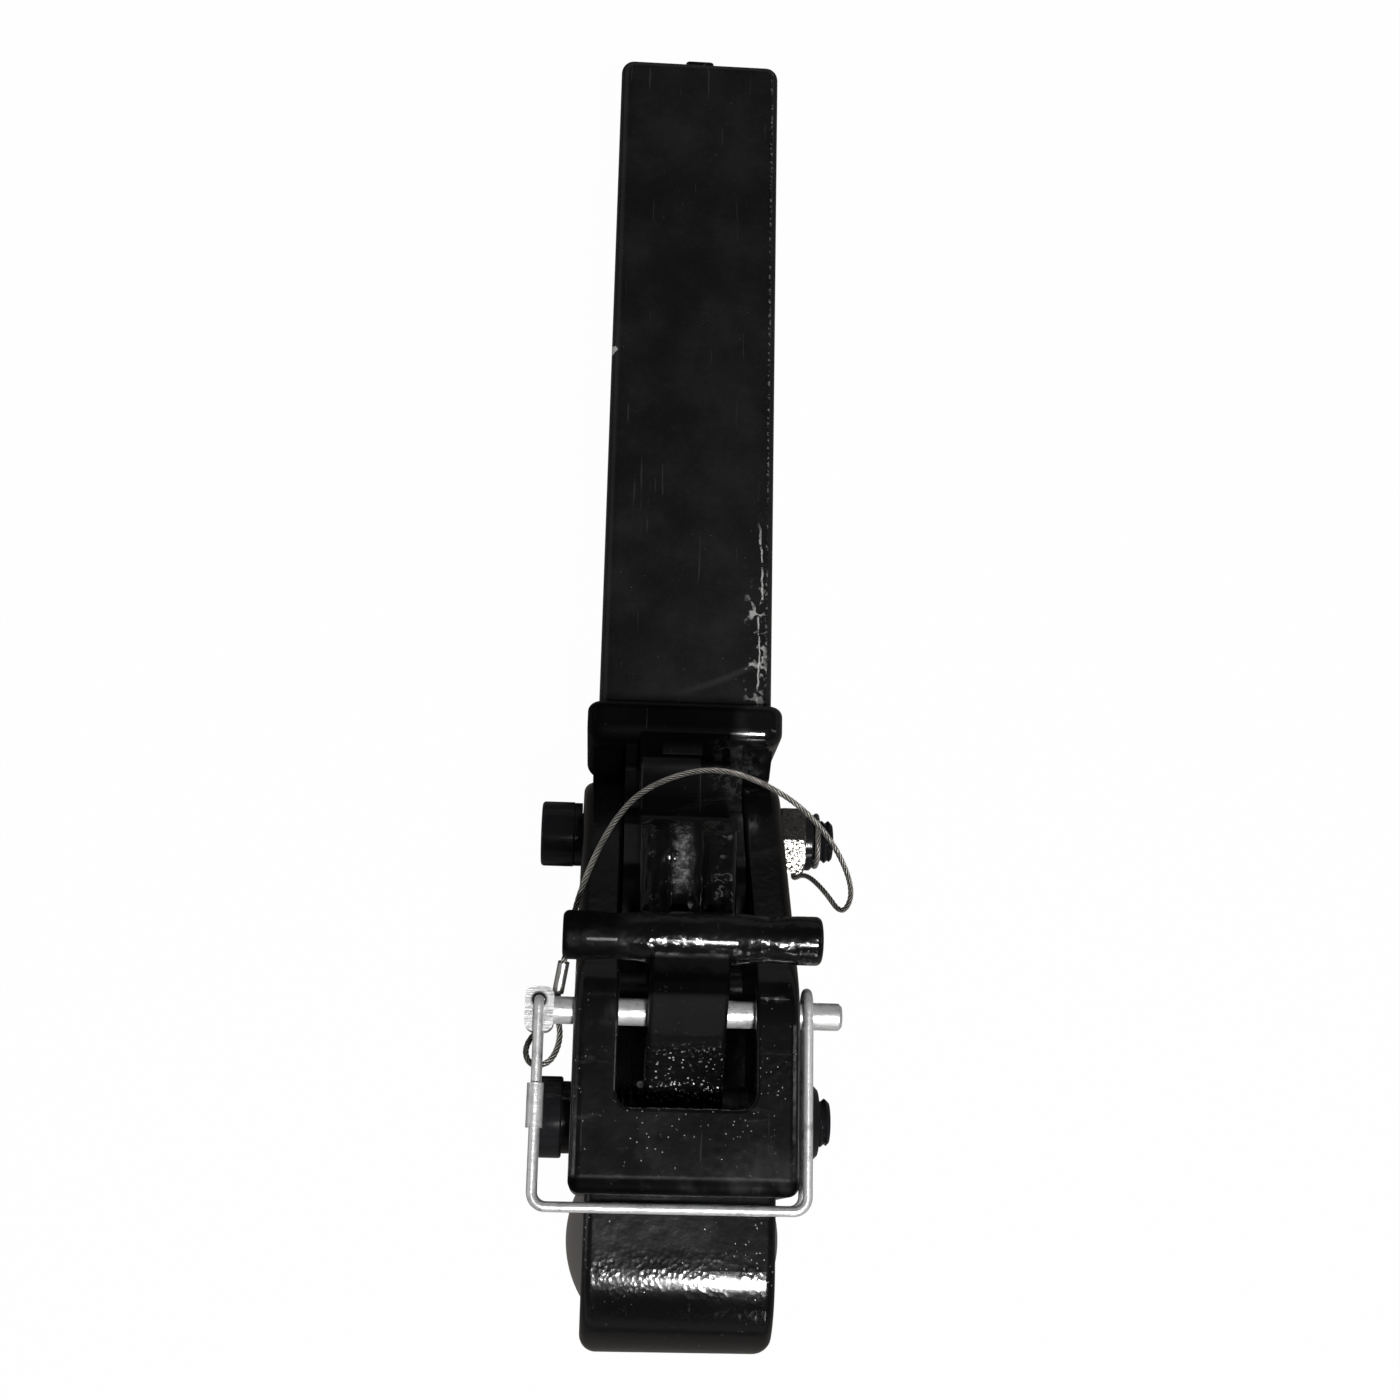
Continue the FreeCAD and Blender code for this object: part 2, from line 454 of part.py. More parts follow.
def make_upper_jaw():
    """The jaw: two arms from the pivot, a block with a slot and a hollow, and the beak."""
    body = document.addObject("PartDesign::Body", "upper_jaw")
    pivot = side(size.pivot_forward, size.pivot_height)
    top_rear = side(size.block_rear, block_top)
    knee = side(size.arm_knee_forward, block_bottom)
    ear_top = tangent_point(pivot, size.ear_radius, top_rear, -1)
    ear_bottom = tangent_point(pivot, size.ear_radius, knee, 1)
    ear_rear = pivot + Vector(1, 0, 0) * size.ear_radius
    front_top = side(size.block_front, block_top)
    front_bottom = side(size.block_front + 1, block_bottom)
    outline = [Part.Arc(ear_bottom, ear_rear, ear_top), Part.LineSegment(ear_top, top_rear),
               Part.LineSegment(top_rear, front_top), Part.LineSegment(front_top, front_bottom),
               Part.LineSegment(front_bottom, knee), Part.LineSegment(knee, ear_bottom)]
    block = pad(body, sketch_on(body, "YZ_Plane", "arms_and_block", [outline]), "Sizes.jaw_width", symmetric=True)
    top_edges = ((size.block_rear, "Sizes.shoulder_round"), (size.block_front, "Sizes.brow_round"))
    for forward, radius in top_edges:
        corner = Vector(0, collar_y - forward, block_top)
        block = fillet(body, block, radius, lambda edge, middle: middle.isEqual(corner, 0.01))
    half_gap = jaw_gap / 2
    slot_rear = size.pivot_forward - size.ear_radius - 5
    slot = rounded_outline([(Vector(-half_gap, collar_y - slot_rear, 0), 0),
                            (Vector(half_gap, collar_y - slot_rear, 0), 0),
                            (Vector(half_gap, collar_y - size.slot_front, 0), size.slot_corner),
                            (Vector(-half_gap, collar_y - size.slot_front, 0), size.slot_corner)])
    slot = sketch_on(body, "XY_Plane", "slot", [slot], block_top + 5)
    slot = pocket(body, slot, "3 * Sizes.jaw_width")
    outer = size.jaw_width / 2

    def on_outer_edges(edge, middle):
        return abs(abs(middle.x) - outer) < 0.01

    slot = fillet(body, slot, "Sizes.jaw_edge_round", on_outer_edges)

    def on_slot_rim(edge, middle):
        return abs(middle.z - block_top) < 0.01 and abs(middle.x) < jaw_gap / 2 + 0.01

    fillet(body, slot, "Sizes.slot_rim_round", on_slot_rim)
    beak_rear = size.cavity_front + 2
    beak = rounded_outline([
        (side(beak_rear, beak_top), 0),
        (side(size.beak_front, beak_top), min(size.beak_curve, beak_top - size.beak_tip - 2 * size.beak_lip)),
        (side(size.beak_front, size.beak_tip), size.beak_lip),
        (side(size.beak_front - 12, size.beak_tip), 0),
        (side(beak_rear, size.beak_tip + 8), 0),
    ])
    pad(body, sketch_on(body, "YZ_Plane", "beak", [beak]), "Sizes.beak_width", symmetric=True)
    beak_half = size.beak_width / 2
    front = collar_y - size.beak_front
    corner = size.beak_corner
    off_corners = []
    for hand in (-1, 1):
        inner = hand * (beak_half - corner)
        swing = Vector(hand, -1, 0).normalize() * corner
        onto_front = Vector(inner, front, 0)
        onto_side = Vector(hand * beak_half, front + corner, 0)
        outside = Vector(hand * (beak_half + 1), front + corner, 0)
        past_corner = Vector(hand * (beak_half + 1), front - corner, 0)
        past_front = Vector(inner, front - corner, 0)
        off_corners.append([Part.Arc(onto_front, Vector(inner, front + corner, 0) + swing, onto_side),
                            Part.LineSegment(onto_side, outside), Part.LineSegment(outside, past_corner),
                            Part.LineSegment(past_corner, past_front), Part.LineSegment(past_front, onto_front)])
    off_corners = sketch_on(body, "XY_Plane", "beak_corners", off_corners, block_top)
    trimmed = pocket(body, off_corners, "2 * Sizes.jaw_width")

    def on_top_edges(edge, middle):
        return abs(middle.z - beak_top) < 0.01 and middle.y < collar_y - size.block_front - 2

    fillet(body, trimmed, "Sizes.beak_edge_round", on_top_edges)
    hollow = rounded_outline([(side(size.slot_front - 8, roof_underside), 0),
                              (side(size.cavity_front, roof_underside), 6),
                              (side(size.cavity_front, block_bottom - 2), 0),
                              (side(size.slot_front - 8, block_bottom - 2), 0)])
    hollow = sketch_on(body, "YZ_Plane", "latch_hollow", [hollow])
    pocket(body, hollow, "Sizes.web_width + 2 * Sizes.side_clearance", symmetric=True)
    cover = size.ball_radius + size.ball_cover_gap
    dome = [Part.Arc(Vector(0, cover, 0), Vector(cover, 0, 0), Vector(0, -cover, 0)),
            Part.LineSegment(Vector(0, -cover, 0), Vector(0, cover, 0))]
    dome = sketch_on(body, "YZ_Plane", "ball_hollow", [dome], 0, collar_y - size.ball_forward, size.ball_height)
    turn(body, dome, "V_Axis", cut=True)
    for name, forward, height, radius in (
            ("jaw_bore", size.pivot_forward, size.pivot_height, size.pivot_bolt_radius + size.running_clearance),
            ("latch_bore", size.latch_pivot_forward, size.latch_pivot_height, size.latch_bolt_radius),
            ("safety_pin_bore", size.pin_forward, pin_height, size.pin_radius + size.running_clearance)):
        bore = sketch_on(body, "YZ_Plane", name, [[circle(side(forward, height), radius)]])
        pocket(body, bore, "Sizes.jaw_width + 4", symmetric=True)
    return body


def make_latch():
    """The latch: boss, stem, nose that sits over the tongue's front, and the T-handle."""
    body = document.addObject("PartDesign::Body", "latch")
    centre = side(size.latch_pivot_forward, size.latch_pivot_height)
    jaw_pivot = side(size.pivot_forward, size.pivot_height)

    def on_boss(degrees):
        angle = math.radians(degrees)
        return centre + Vector(math.cos(angle), math.sin(angle), 0) * size.latch_boss_radius

    def on_nose_arc(forward):
        run = forward - size.pivot_forward
        reach = size.horn_radius + size.nose_clearance
        return side(forward, size.pivot_height + math.sqrt(reach ** 2 - run ** 2))

    nose_front = size.horn_front + 3
    nose_middle = (size.nose_rear + nose_front) / 2
    notch_top = pin_height + size.pin_radius + size.notch_clearance
    handle_top = handle_height + size.handle_waist_radius
    crook = side(size.pin_forward + 6, handle_height - 8.5)
    brow = side(size.latch_pivot_forward - 9, roof_underside - 1.5)
    notch_front = size.pin_forward + 5.5
    notch_rear = size.pin_forward - 5.8
    corners = [(on_boss(80), 0), (brow, 5), (crook, 9), (side(size.handle_forward + 7, handle_top), 7),
               (side(size.handle_forward - 4, handle_top), 4), (side(size.nose_rear + 1, handle_height - 12), 3),
               (on_nose_arc(size.nose_rear), 0), (on_nose_arc(nose_front), 0),
               (side(nose_front + 2, pin_height - 13), 0), (side(notch_rear, notch_top), 3),
               (side(notch_front, notch_top), 3), (side(notch_front + 0.5, pin_height - 8), 3), (on_boss(-45), 0)]
    outline = []
    for edge in rounded_outline(corners):
        ends = (edge.value(edge.FirstParameter), edge.value(edge.LastParameter))
        if ends[0].isEqual(corners[6][0], 0.001) and ends[1].isEqual(corners[7][0], 0.001):
            edge = Part.Arc(ends[0], on_nose_arc(nose_middle), ends[1])
        if ends[0].isEqual(corners[12][0], 0.001) and ends[1].isEqual(corners[0][0], 0.001):
            edge = Part.Arc(ends[0], on_boss(180), ends[1])
        outline.append(edge)
    stem = pad(body, sketch_on(body, "YZ_Plane", "stem", [outline]), "Sizes.latch_width", symmetric=True)
    half = size.latch_width / 2
    round_above = pin_height + size.pin_radius + 2

    def on_top_outline(edge, middle):
        return abs(abs(middle.x) - half) < 0.01 and middle.z > round_above

    fillet(body, stem, "Sizes.latch_edge_round", on_top_outline)
    end = size.handle_length / 2
    hub = size.handle_hub_half
    bar = [(-end, 0), (-end, size.handle_radius), (-end + size.handle_end_length, size.handle_radius),
           (-hub - 8, size.handle_waist_radius), (-hub, size.handle_hub_radius), (hub, size.handle_hub_radius),
           (hub + 8, size.handle_waist_radius), (end - size.handle_end_length, size.handle_radius),
           (end, size.handle_radius), (end, 0)]
    bar = sketch_on(body, "XY_Plane", "handle", [polygon(bar)], handle_height, size.handle_shift,
                    collar_y - size.handle_forward)
    bar = turn(body, bar, "H_Axis")
    fillet(body, bar, "Sizes.handle_end_round",
           lambda edge, middle: abs(abs(middle.x - size.handle_shift) - end) < 0.01)
    bore = circle(centre, size.latch_bolt_radius + size.running_clearance)
    pocket(body, sketch_on(body, "YZ_Plane", "boss_bore", [[bore]]), "Sizes.latch_width + 4", symmetric=True)
    return body


def make_cap_screw(label, forward, height, radius, head_radius, head_length, tip):
    """A socket-head bolt along X with its head on the left."""
    under_head = -(jaw_half + size.seat_clearance + size.washer_thickness)
    end = under_head - head_length
    body = turned_along_x(label, [
        (end, 0), (end, head_radius - size.head_round), (end + size.head_round, head_radius),
        (under_head, head_radius), (under_head, radius), (tip - 1, radius), (tip, radius - 1), (tip, 0)],
        forward, height)
    socket = hexagon(side(forward, height), size.head_socket_flats)
    socket = sketch_on(body, "YZ_Plane", label + "_socket", [socket], end)
    pocket(body, socket, "Sizes.head_socket_depth", reverse=True)
    return body


def make_washer(label, forward, height, bolt_radius):
    """A plain washer between a bolt's head and the jaw."""
    inner = -(jaw_half + size.seat_clearance)
    outer = inner - size.washer_thickness
    bore = bolt_radius + size.running_clearance
    return turned_along_x(label, [(outer, bore), (outer, size.washer_radius), (inner, size.washer_radius),
                                  (inner, bore)], forward, height)


def make_hex_nut(label, flats, thickness, bore, placement):
    """A hexagon nut along Z whose corners are turned off at both ends."""
    prism = document.addObject("Part::Prism", label + "_hexagon")
    prism.Polygon = 6
    bind(prism, Circumradius="%s / sqrt(3)" % flats, Height=thickness)
    bottom = document.addObject("Part::Cone", label + "_lower_chamfer")
    bind(bottom, Radius1="%s / 2" % flats, Radius2="%s * 1.8" % flats, Height="%s * 0.9" % flats)
    top = document.addObject("Part::Cone", label + "_upper_chamfer")
    bind(top, Radius1="%s * 1.8" % flats, Radius2="%s / 2" % flats, Height="%s * 0.9" % flats)
    top.setExpression(".Placement.Base.z", "%s - %s * 0.9" % (thickness, flats))
    chamfered = document.addObject("Part::MultiCommon", label + "_chamfered")
    chamfered.Shapes = [prism, bottom, top]
    hole = document.addObject("Part::Cylinder", label + "_bore")
    bind(hole, Radius=bore, Height="%s + 2" % thickness)
    hole.Placement = Placement(Vector(0, 0, -1), Rotation())
    nut = document.addObject("Part::Cut", label)
    nut.Base = chamfered
    nut.Tool = hole
    nut.Placement = placement
    return nut


def make_tow_ball():
    """The ball with its flat top, neck, flange and shank, turned round a line along Z."""
    body = document.addObject("PartDesign::Body", "tow_ball")
    crown = math.sqrt(size.ball_radius ** 2 - size.ball_flat_radius ** 2)
    waist = math.sqrt(size.ball_radius ** 2 - size.ball_neck_radius ** 2)
    flange_top = size.arm_top + size.ball_flange_thickness
    tip = ball_nut_bottom - size.ball_shank_proud
    top_edge = Vector(size.ball_flat_radius, size.ball_height + crown, 0)
    neck_edge = Vector(size.ball_neck_radius, size.ball_height - waist, 0)
    corners = [top_edge, Vector(size.ball_radius, size.ball_height, 0), neck_edge]
    rest = [(size.ball_neck_radius, size.ball_height - waist), (size.ball_neck_radius, flange_top + 2),
            (size.ball_neck_radius + 2, flange_top), (size.ball_flange_radius - 1, flange_top),
            (size.ball_flange_radius, flange_top - 1), (size.ball_flange_radius, size.arm_top),
            (size.ball_shank_radius, size.arm_top), (size.ball_shank_radius, tip + 1.5),
            (size.ball_shank_radius - 1.5, tip), (0, tip), (0, size.ball_height + crown),
            (size.ball_flat_radius, size.ball_height + crown)]
    points = [Vector(x, z, 0) for x, z in rest]
    outline = [Part.Arc(*corners)]
    outline += [Part.LineSegment(points[index], points[index + 1]) for index in range(len(points) - 1)]
    sketch = sketch_on(body, "XZ_Plane", "ball_profile", [outline], -(collar_y - size.ball_forward))
    turn(body, sketch, "V_Axis")
    return body


def make_ball_washer():
    """The split spring washer above the ball's nut."""
    body = document.addObject("PartDesign::Body", "ball_washer")
    inner = size.ball_shank_radius + size.seat_clearance
    section = polygon([(inner, ball_washer_bottom), (size.ball_washer_radius, ball_washer_bottom),
                       (size.ball_washer_radius, arm_bottom), (inner, arm_bottom)])
    sketch = sketch_on(body, "XZ_Plane", "washer_section", [section], -(collar_y - size.ball_forward))
    turn(body, sketch, "V_Axis", angle=354)
    return body


def make_web_bush(label, hand):
    """A plain bush pressed into one end of the web's bore."""
    outer = size.web_width / 2
    inner = outer - size.bush_length
    bore = size.pivot_bolt_radius + size.running_clearance / 2
    wall = web_bore_radius
    points = [(hand * inner, bore), (hand * inner, wall), (hand * outer, wall), (hand * outer, bore)]
    return turned_along_x(label, points, size.pivot_forward, size.pivot_height)


def make_latch_spring():
    """The latch spring: a coil round the latch bolt with a straight leg at each end."""
    pitch = 2 * size.spring_wire_radius + size.seat_clearance
    helix = Part.makeHelix(pitch, pitch * size.spring_turns, size.spring_coil_radius).Edges[0]
    first, last = helix.FirstParameter, helix.LastParameter
    start, end = helix.valueAt(first), helix.valueAt(last)
    into, out = helix.tangentAt(first), helix.tangentAt(last)
    legs = (Part.makeLine(start - into * size.spring_leg, start), Part.makeLine(end, end + out * size.spring_leg))
    path = Part.Wire([legs[0], helix, legs[1]])
    section = Part.Wire(Part.makeCircle(size.spring_wire_radius, start - into * size.spring_leg, into))
    spring = document.addObject("Part::Feature", "latch_spring")
    spring.Shape = path.makePipeShell([section], True, False)
    left = -(jaw_gap / 2) + size.spring_wire_radius + size.seat_clearance
    place = at(left, size.latch_pivot_forward, size.latch_pivot_height)
    spring.Placement = Placement(place, Rotation(Vector(0, 1, 0), 90))


def make_safety_pin():
    """The cross pin: a chamfered shaft and a flat head with an upright hole for the bail."""
    chamfer = size.pin_tip_chamfer
    body = turned_along_x("safety_pin", [
        (pin_shoulder - 1, 0), (pin_shoulder - 1, size.pin_radius), (pin_tip - chamfer, size.pin_radius),
        (pin_tip, size.pin_radius - chamfer), (pin_tip, 0)], size.pin_forward, pin_height)
    head_end = pin_shoulder - size.pin_head_length
    half = size.pin_head_width / 2
    centre_y = collar_y - size.pin_forward
    corners = [(Vector(x, centre_y + y, 0), size.pin_head_round)
               for x, y in ((head_end, -half), (pin_shoulder, -half), (pin_shoulder, half),
                            (head_end, half))]
    head = sketch_on(body, "XY_Plane", "pin_head", [rounded_outline(corners)], pin_height)
    pad(body, head, "2 * Sizes.pin_radius", symmetric=True)
    hole = circle(Vector(bail_left, collar_y - size.bail_hole_forward, 0), size.bail_hole_radius)
    hole = sketch_on(body, "XY_Plane", "pin_head_hole", [[hole]], pin_height)
    pocket(body, hole, "4 * Sizes.pin_radius", symmetric=True)
    return body


def bent_path(points):
    """A path of straight runs joined by tangent arcs, from (point, arc radius) pairs."""
    edges = []
    here = points[0][0]
    for index in range(1, len(points) - 1):
        point, radius = points[index]
        before = (points[index - 1][0] - point).normalize()
        after = (points[index + 1][0] - point).normalize()
        half_angle = before.getAngle(after) / 2
        reach = radius / math.tan(half_angle)
        inward = (before + after).normalize()
        middle = point + inward * (radius / math.sin(half_angle) - radius)
        start = point + before * reach
        if (start - here).Length > 0.001:
            edges.append(Part.LineSegment(here, start).toShape())
        here = point + after * reach
        edges.append(Part.Arc(start, middle, here).toShape())
    edges.append(Part.LineSegment(here, points[-1][0]).toShape())
    return Part.Wire(edges)


def tube_along(path, radius):
    """A round bar swept along a path."""
    start = path.Edges[0].valueAt(path.Edges[0].FirstParameter)
    along = path.Edges[0].tangentAt(path.Edges[0].FirstParameter)
    section = Part.Wire(Part.makeCircle(radius, start, along))
    return path.makePipeShell([section], True, False)


def make_bail():
    """The bail: a wire bent to a square loop on two levels, and the sleeve that joins its ends."""
    offset = size.pin_radius + size.bail_eye_clearance + size.bail_wire_radius
    high = pin_height + offset
    low = pin_height - offset
    left, right, front = bail_left, bail_right, size.bail_front
    half_gap = size.bail_end_gap / 2
    corner = size.bail_corner
    turn_point = size.bail_turn_forward - offset
    points = [
        (at(left, size.sleeve_forward + half_gap, high), 0), (at(left, front, high), corner),
        (at(right, front, high), corner), (at(right, turn_point, high), offset - 0.001),
        (at(right, turn_point, low), offset - 0.001), (at(right, front, low), corner),
        (at(left, front, low), corner), (at(left, size.bail_hole_forward, low), size.bail_hook),
        (at(left, size.bail_hole_forward, high), size.bail_hook),
        (at(left, size.sleeve_forward - half_gap, high), 0)]
    wire = document.addObject("Part::Feature", "bail_wire")
    wire.Shape = tube_along(bent_path(points), size.bail_wire_radius)
    sleeve = document.addObject("PartDesign::Body", "bail_sleeve")
    bore = size.bail_wire_radius + size.running_clearance
    ring = [[circle(Vector(left, high, 0), bore)], [circle(Vector(left, high, 0), bore + size.sleeve_wall)]]
    start = collar_y - size.sleeve_forward + size.sleeve_length / 2
    pad(sleeve, sketch_on(sleeve, "XZ_Plane", "sleeve_ring", ring, -start), "Sizes.sleeve_length")


def make_ferrule(label, along, across, middle):
    """A pressed oval sleeve whose two bores hold the strands side by side."""
    body = document.addObject("PartDesign::Body", label)
    half = size.strand_spacing / 2
    outer = size.cable_radius + size.ferrule_wall
    oval = [Part.Arc(Vector(half, -outer, 0), Vector(half + outer, 0, 0), Vector(half, outer, 0)),
            Part.LineSegment(Vector(half, outer, 0), Vector(-half, outer, 0)),
            Part.Arc(Vector(-half, outer, 0), Vector(-half - outer, 0, 0), Vector(-half, -outer, 0)),
            Part.LineSegment(Vector(-half, -outer, 0), Vector(half, -outer, 0))]
    bores = [[circle(Vector(x, 0, 0), size.cable_radius + size.running_clearance)] for x in (-half, half)]
    pad(body, sketch_on(body, "XY_Plane", label + "_oval", [oval, *bores]), "Sizes.ferrule_length", symmetric=True)
    body.Placement = Placement(middle, Rotation(across, Vector(), along, "ZXY"))


def make_lanyard():
    """The twisted cable with an eye at each end, and the two ferrules that close the eyes."""
    points = [at(*point) for point in LANYARD_ROUTE]
    corners = [(points[0], 0)]
    for before, point, after in zip(points, points[1:], points[2:]):
        shorter = min((before - point).Length, (after - point).Length)
        half_turn = (math.pi - (before - point).getAngle(after - point)) / 2
        corners.append((point, CORD_REACH * shorter / math.tan(half_turn)))
    corners.append((points[-1], 0))
    cable = document.addObject("Part::Feature", "lanyard")
    cable.Shape = tube_along(bent_path(corners), size.cable_radius)
    for label, straight, dead, back in (
            ("lanyard_ferrule_pin", (points[7], points[8]), points[0], size.pin_ferrule_back),
            ("lanyard_ferrule_bolt", (points[22], points[21]), points[-1], size.bolt_ferrule_drop)):
        along = (straight[1] - straight[0]).normalize()
        strand = straight[0] + along * (back + size.ferrule_length / 2)
        beside = dead - straight[0]
        across = (beside - along * beside.dot(along)).normalize()
        make_ferrule(label, along, across, strand + across * (size.strand_spacing / 2))


def make_pivot_hardware():
    """The two pivot bolts with their washers, nuts, bushes and the spacer beside the latch."""
    make_cap_screw("jaw_pivot_bolt", size.pivot_forward, size.pivot_height, size.pivot_bolt_radius,
                   size.jaw_head_radius, size.jaw_head_length, nut_collar_outer + size.bolt_proud)
    make_washer("jaw_pivot_washer", size.pivot_forward, size.pivot_height, size.pivot_bolt_radius)
    for label, hand in (("web_bush_left", -1), ("web_bush_right", 1)):
        make_web_bush(label, hand)
    nut_place = at(jaw_half + size.seat_clearance, size.pivot_forward, size.pivot_height)
    turned = Rotation(Vector(1, 0, 0), size.nut_turn).multiply(Rotation(Vector(0, 1, 0), 90))
    make_hex_nut("jaw_pivot_nut", "Sizes.nut_flats", "Sizes.nut_thickness",
                 "Sizes.pivot_bolt_radius + Sizes.running_clearance / 2", Placement(nut_place, turned))
    bore = size.pivot_bolt_radius + size.running_clearance / 2
    turned_along_x("jaw_nut_collar", [(nut_outer, bore), (nut_outer, size.nut_collar_radius),
                                      (nut_collar_outer - 0.6, size.nut_collar_radius),
                                      (nut_collar_outer, size.nut_collar_radius - 0.6), (nut_collar_outer, bore)],
                   size.pivot_forward, size.pivot_height)
    cap_end = jaw_half + size.cap_thickness
    make_cap_screw("latch_pivot_bolt", size.latch_pivot_forward, size.latch_pivot_height, size.latch_bolt_radius,
                   size.latch_head_radius, size.latch_head_length, cap_end + size.cap_proud)
    make_washer("latch_pivot_washer", size.latch_pivot_forward, size.latch_pivot_height, size.latch_bolt_radius)
    bore = size.latch_bolt_radius + size.running_clearance / 2
    rim = size.cap_radius - size.cap_round
    turned_along_x("latch_pivot_cap", [(jaw_half, bore), (jaw_half, size.cap_radius),
                                       (cap_end - size.cap_round, size.cap_radius), (cap_end, rim), (cap_end, bore)],
                   size.latch_pivot_forward, size.latch_pivot_height)
    inner = size.latch_width / 2 + size.side_clearance
    outer = jaw_gap / 2
    turned_along_x("latch_spacer", [(inner, bore), (inner, size.spacer_radius), (outer, size.spacer_radius),
                                    (outer, bore)], size.latch_pivot_forward, size.latch_pivot_height)


make_hitch_body()
make_upper_jaw()
make_latch()
make_pivot_hardware()
make_tow_ball()
make_ball_washer()
ball_nut_place = Placement(at(0, size.ball_forward, ball_nut_bottom), Rotation(Vector(0, 0, 1), 12))
make_hex_nut("ball_nut", "Sizes.ball_nut_flats", "Sizes.ball_nut_thickness",
             "Sizes.ball_shank_radius + Sizes.running_clearance / 2", ball_nut_place)
make_latch_spring()
make_safety_pin()
make_bail()
make_lanyard()
document.recompute()

NODES = ("hitch_body", "tow_ball", "ball_washer", "ball_nut", "web_bush_left", "web_bush_right",
         "jaw_pivot_bolt", "jaw_pivot_washer", "jaw_pivot_nut", "jaw_nut_collar",
         "upper_jaw", "latch_pivot_bolt", "latch_pivot_washer", "latch_pivot_cap", "latch_spacer", "latch_spring",
         "latch", "safety_pin", "bail_wire", "bail_sleeve",
         "lanyard", "lanyard_ferrule_pin", "lanyard_ferrule_bolt")

if __name__ == "__main__":
    os.makedirs("parts", exist_ok=True)
    for item in document.Objects:
        if "Invalid" in item.State or "Error" in item.State:
            raise RuntimeError("%s did not build: %s" % (item.Label, item.State))
    for name in NODES:
        shape = document.getObject(name).Shape
        if shape.isNull() or not shape.isValid() or not shape.Solids:
            raise RuntimeError("%s is not a valid solid" % name)
        print(name, len(shape.Solids), "solid", round(shape.Volume), "cubic mm", len(shape.Faces), "faces")
        shape.exportStep("parts/%s.step" % name)
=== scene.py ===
import math

import bpy
import numpy as np
from bpy.props import FloatProperty, FloatVectorProperty, IntProperty, PointerProperty
from mathutils import Matrix, Vector


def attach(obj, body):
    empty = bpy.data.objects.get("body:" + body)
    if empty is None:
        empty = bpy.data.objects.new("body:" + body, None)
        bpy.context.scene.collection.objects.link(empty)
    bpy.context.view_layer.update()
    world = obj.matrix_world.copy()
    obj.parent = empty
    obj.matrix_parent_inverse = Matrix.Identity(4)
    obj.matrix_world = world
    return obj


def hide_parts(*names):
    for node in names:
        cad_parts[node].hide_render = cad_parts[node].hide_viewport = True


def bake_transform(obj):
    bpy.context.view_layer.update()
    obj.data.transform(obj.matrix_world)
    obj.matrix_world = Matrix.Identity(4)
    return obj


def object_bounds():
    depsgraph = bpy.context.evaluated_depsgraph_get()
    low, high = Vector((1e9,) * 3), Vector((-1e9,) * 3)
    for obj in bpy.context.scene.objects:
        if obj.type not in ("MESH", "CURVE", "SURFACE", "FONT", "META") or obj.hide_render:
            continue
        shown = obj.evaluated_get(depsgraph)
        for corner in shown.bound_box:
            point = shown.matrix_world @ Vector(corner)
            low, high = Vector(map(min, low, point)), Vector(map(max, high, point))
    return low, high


bl_info = {
    "name": "Pintle hook finishes",
    "version": (1, 0, 0),
    "blender": (4, 5, 0),
    "location": "View3D > Sidebar > Hook",
    "description": "Paint, plating, threads, twisted cable and stage for a pintle hook with a tow ball",
    "category": "Object",
}

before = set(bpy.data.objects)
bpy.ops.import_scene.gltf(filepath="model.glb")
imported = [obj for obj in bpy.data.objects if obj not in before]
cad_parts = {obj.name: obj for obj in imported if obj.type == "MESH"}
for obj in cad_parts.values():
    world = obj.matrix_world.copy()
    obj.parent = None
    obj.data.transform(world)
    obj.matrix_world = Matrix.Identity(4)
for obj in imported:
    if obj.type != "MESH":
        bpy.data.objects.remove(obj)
cad_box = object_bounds()
MM = 0.001

# The cable's route, from the ferrule beside the jaw to the ferrule under the pivot bolt: right, forward, up.
CABLE_ROUTE = (
    (-31.95, 79.95, 61.27), (-34.4, 94.6, 57.2), (-40.1, 99.6, 57.0), (-41.3, 104.2, 61.6),
    (-39.0, 107.8, 66.2), (-34.0, 106.6, 66.8), (-31.8, 99.4, 61.6), (-34.0, 92.3, 59.8),
    (-31.1, 75.0, 64.6), (-28.4, 61.5, 67.2), (-20.8, 42.5, 60.4), (-11.0, 29.8, 50.4),
    (8.0, 21.6, 41.2), (27.0, 26.8, 35.0), (41.6, 37.4, 28.6), (50.8, 52.0, 18.6),
    (48.4, 59.0, 9.5), (43.6, 50.0, 3.0), (39.2, 43.2, -8.0), (36.5, 43.4, -21.0),
    (38.35, 38.0, -24.5), (40.2, 32.65, -21.5), (40.2, 32.65, -4.4), (40.2, 29.2, 3.5),
    (40.2, 29.2, 16.2), (40.2, 44.0, 16.2), (40.2, 44.0, 3.5), (40.2, 34.55, -4.4),
    (40.2, 34.55, -18.0),
)
# The collar's rear face in metres, from which the route and the places below are measured forward.
COLLAR_Y = -0.1525

# The two pivots, forward of the collar and up, and the sizes of their half-inch bolts, in millimetres.
JAW_PIVOT = (36.6, 8.6)
LATCH_PIVOT = (119.5, 48.0)
BOLT_RADIUS = 6.35
BOLT_UNDER_HEAD = -31.15
BOLT_THREAD_START = 24.0
BOLT_TIP_BEVEL = 1.1
SOCKET_HALF_FLATS = 4.75
SOCKET_DEPTH = 4.2
SOCKET_CHAMFER = 0.5

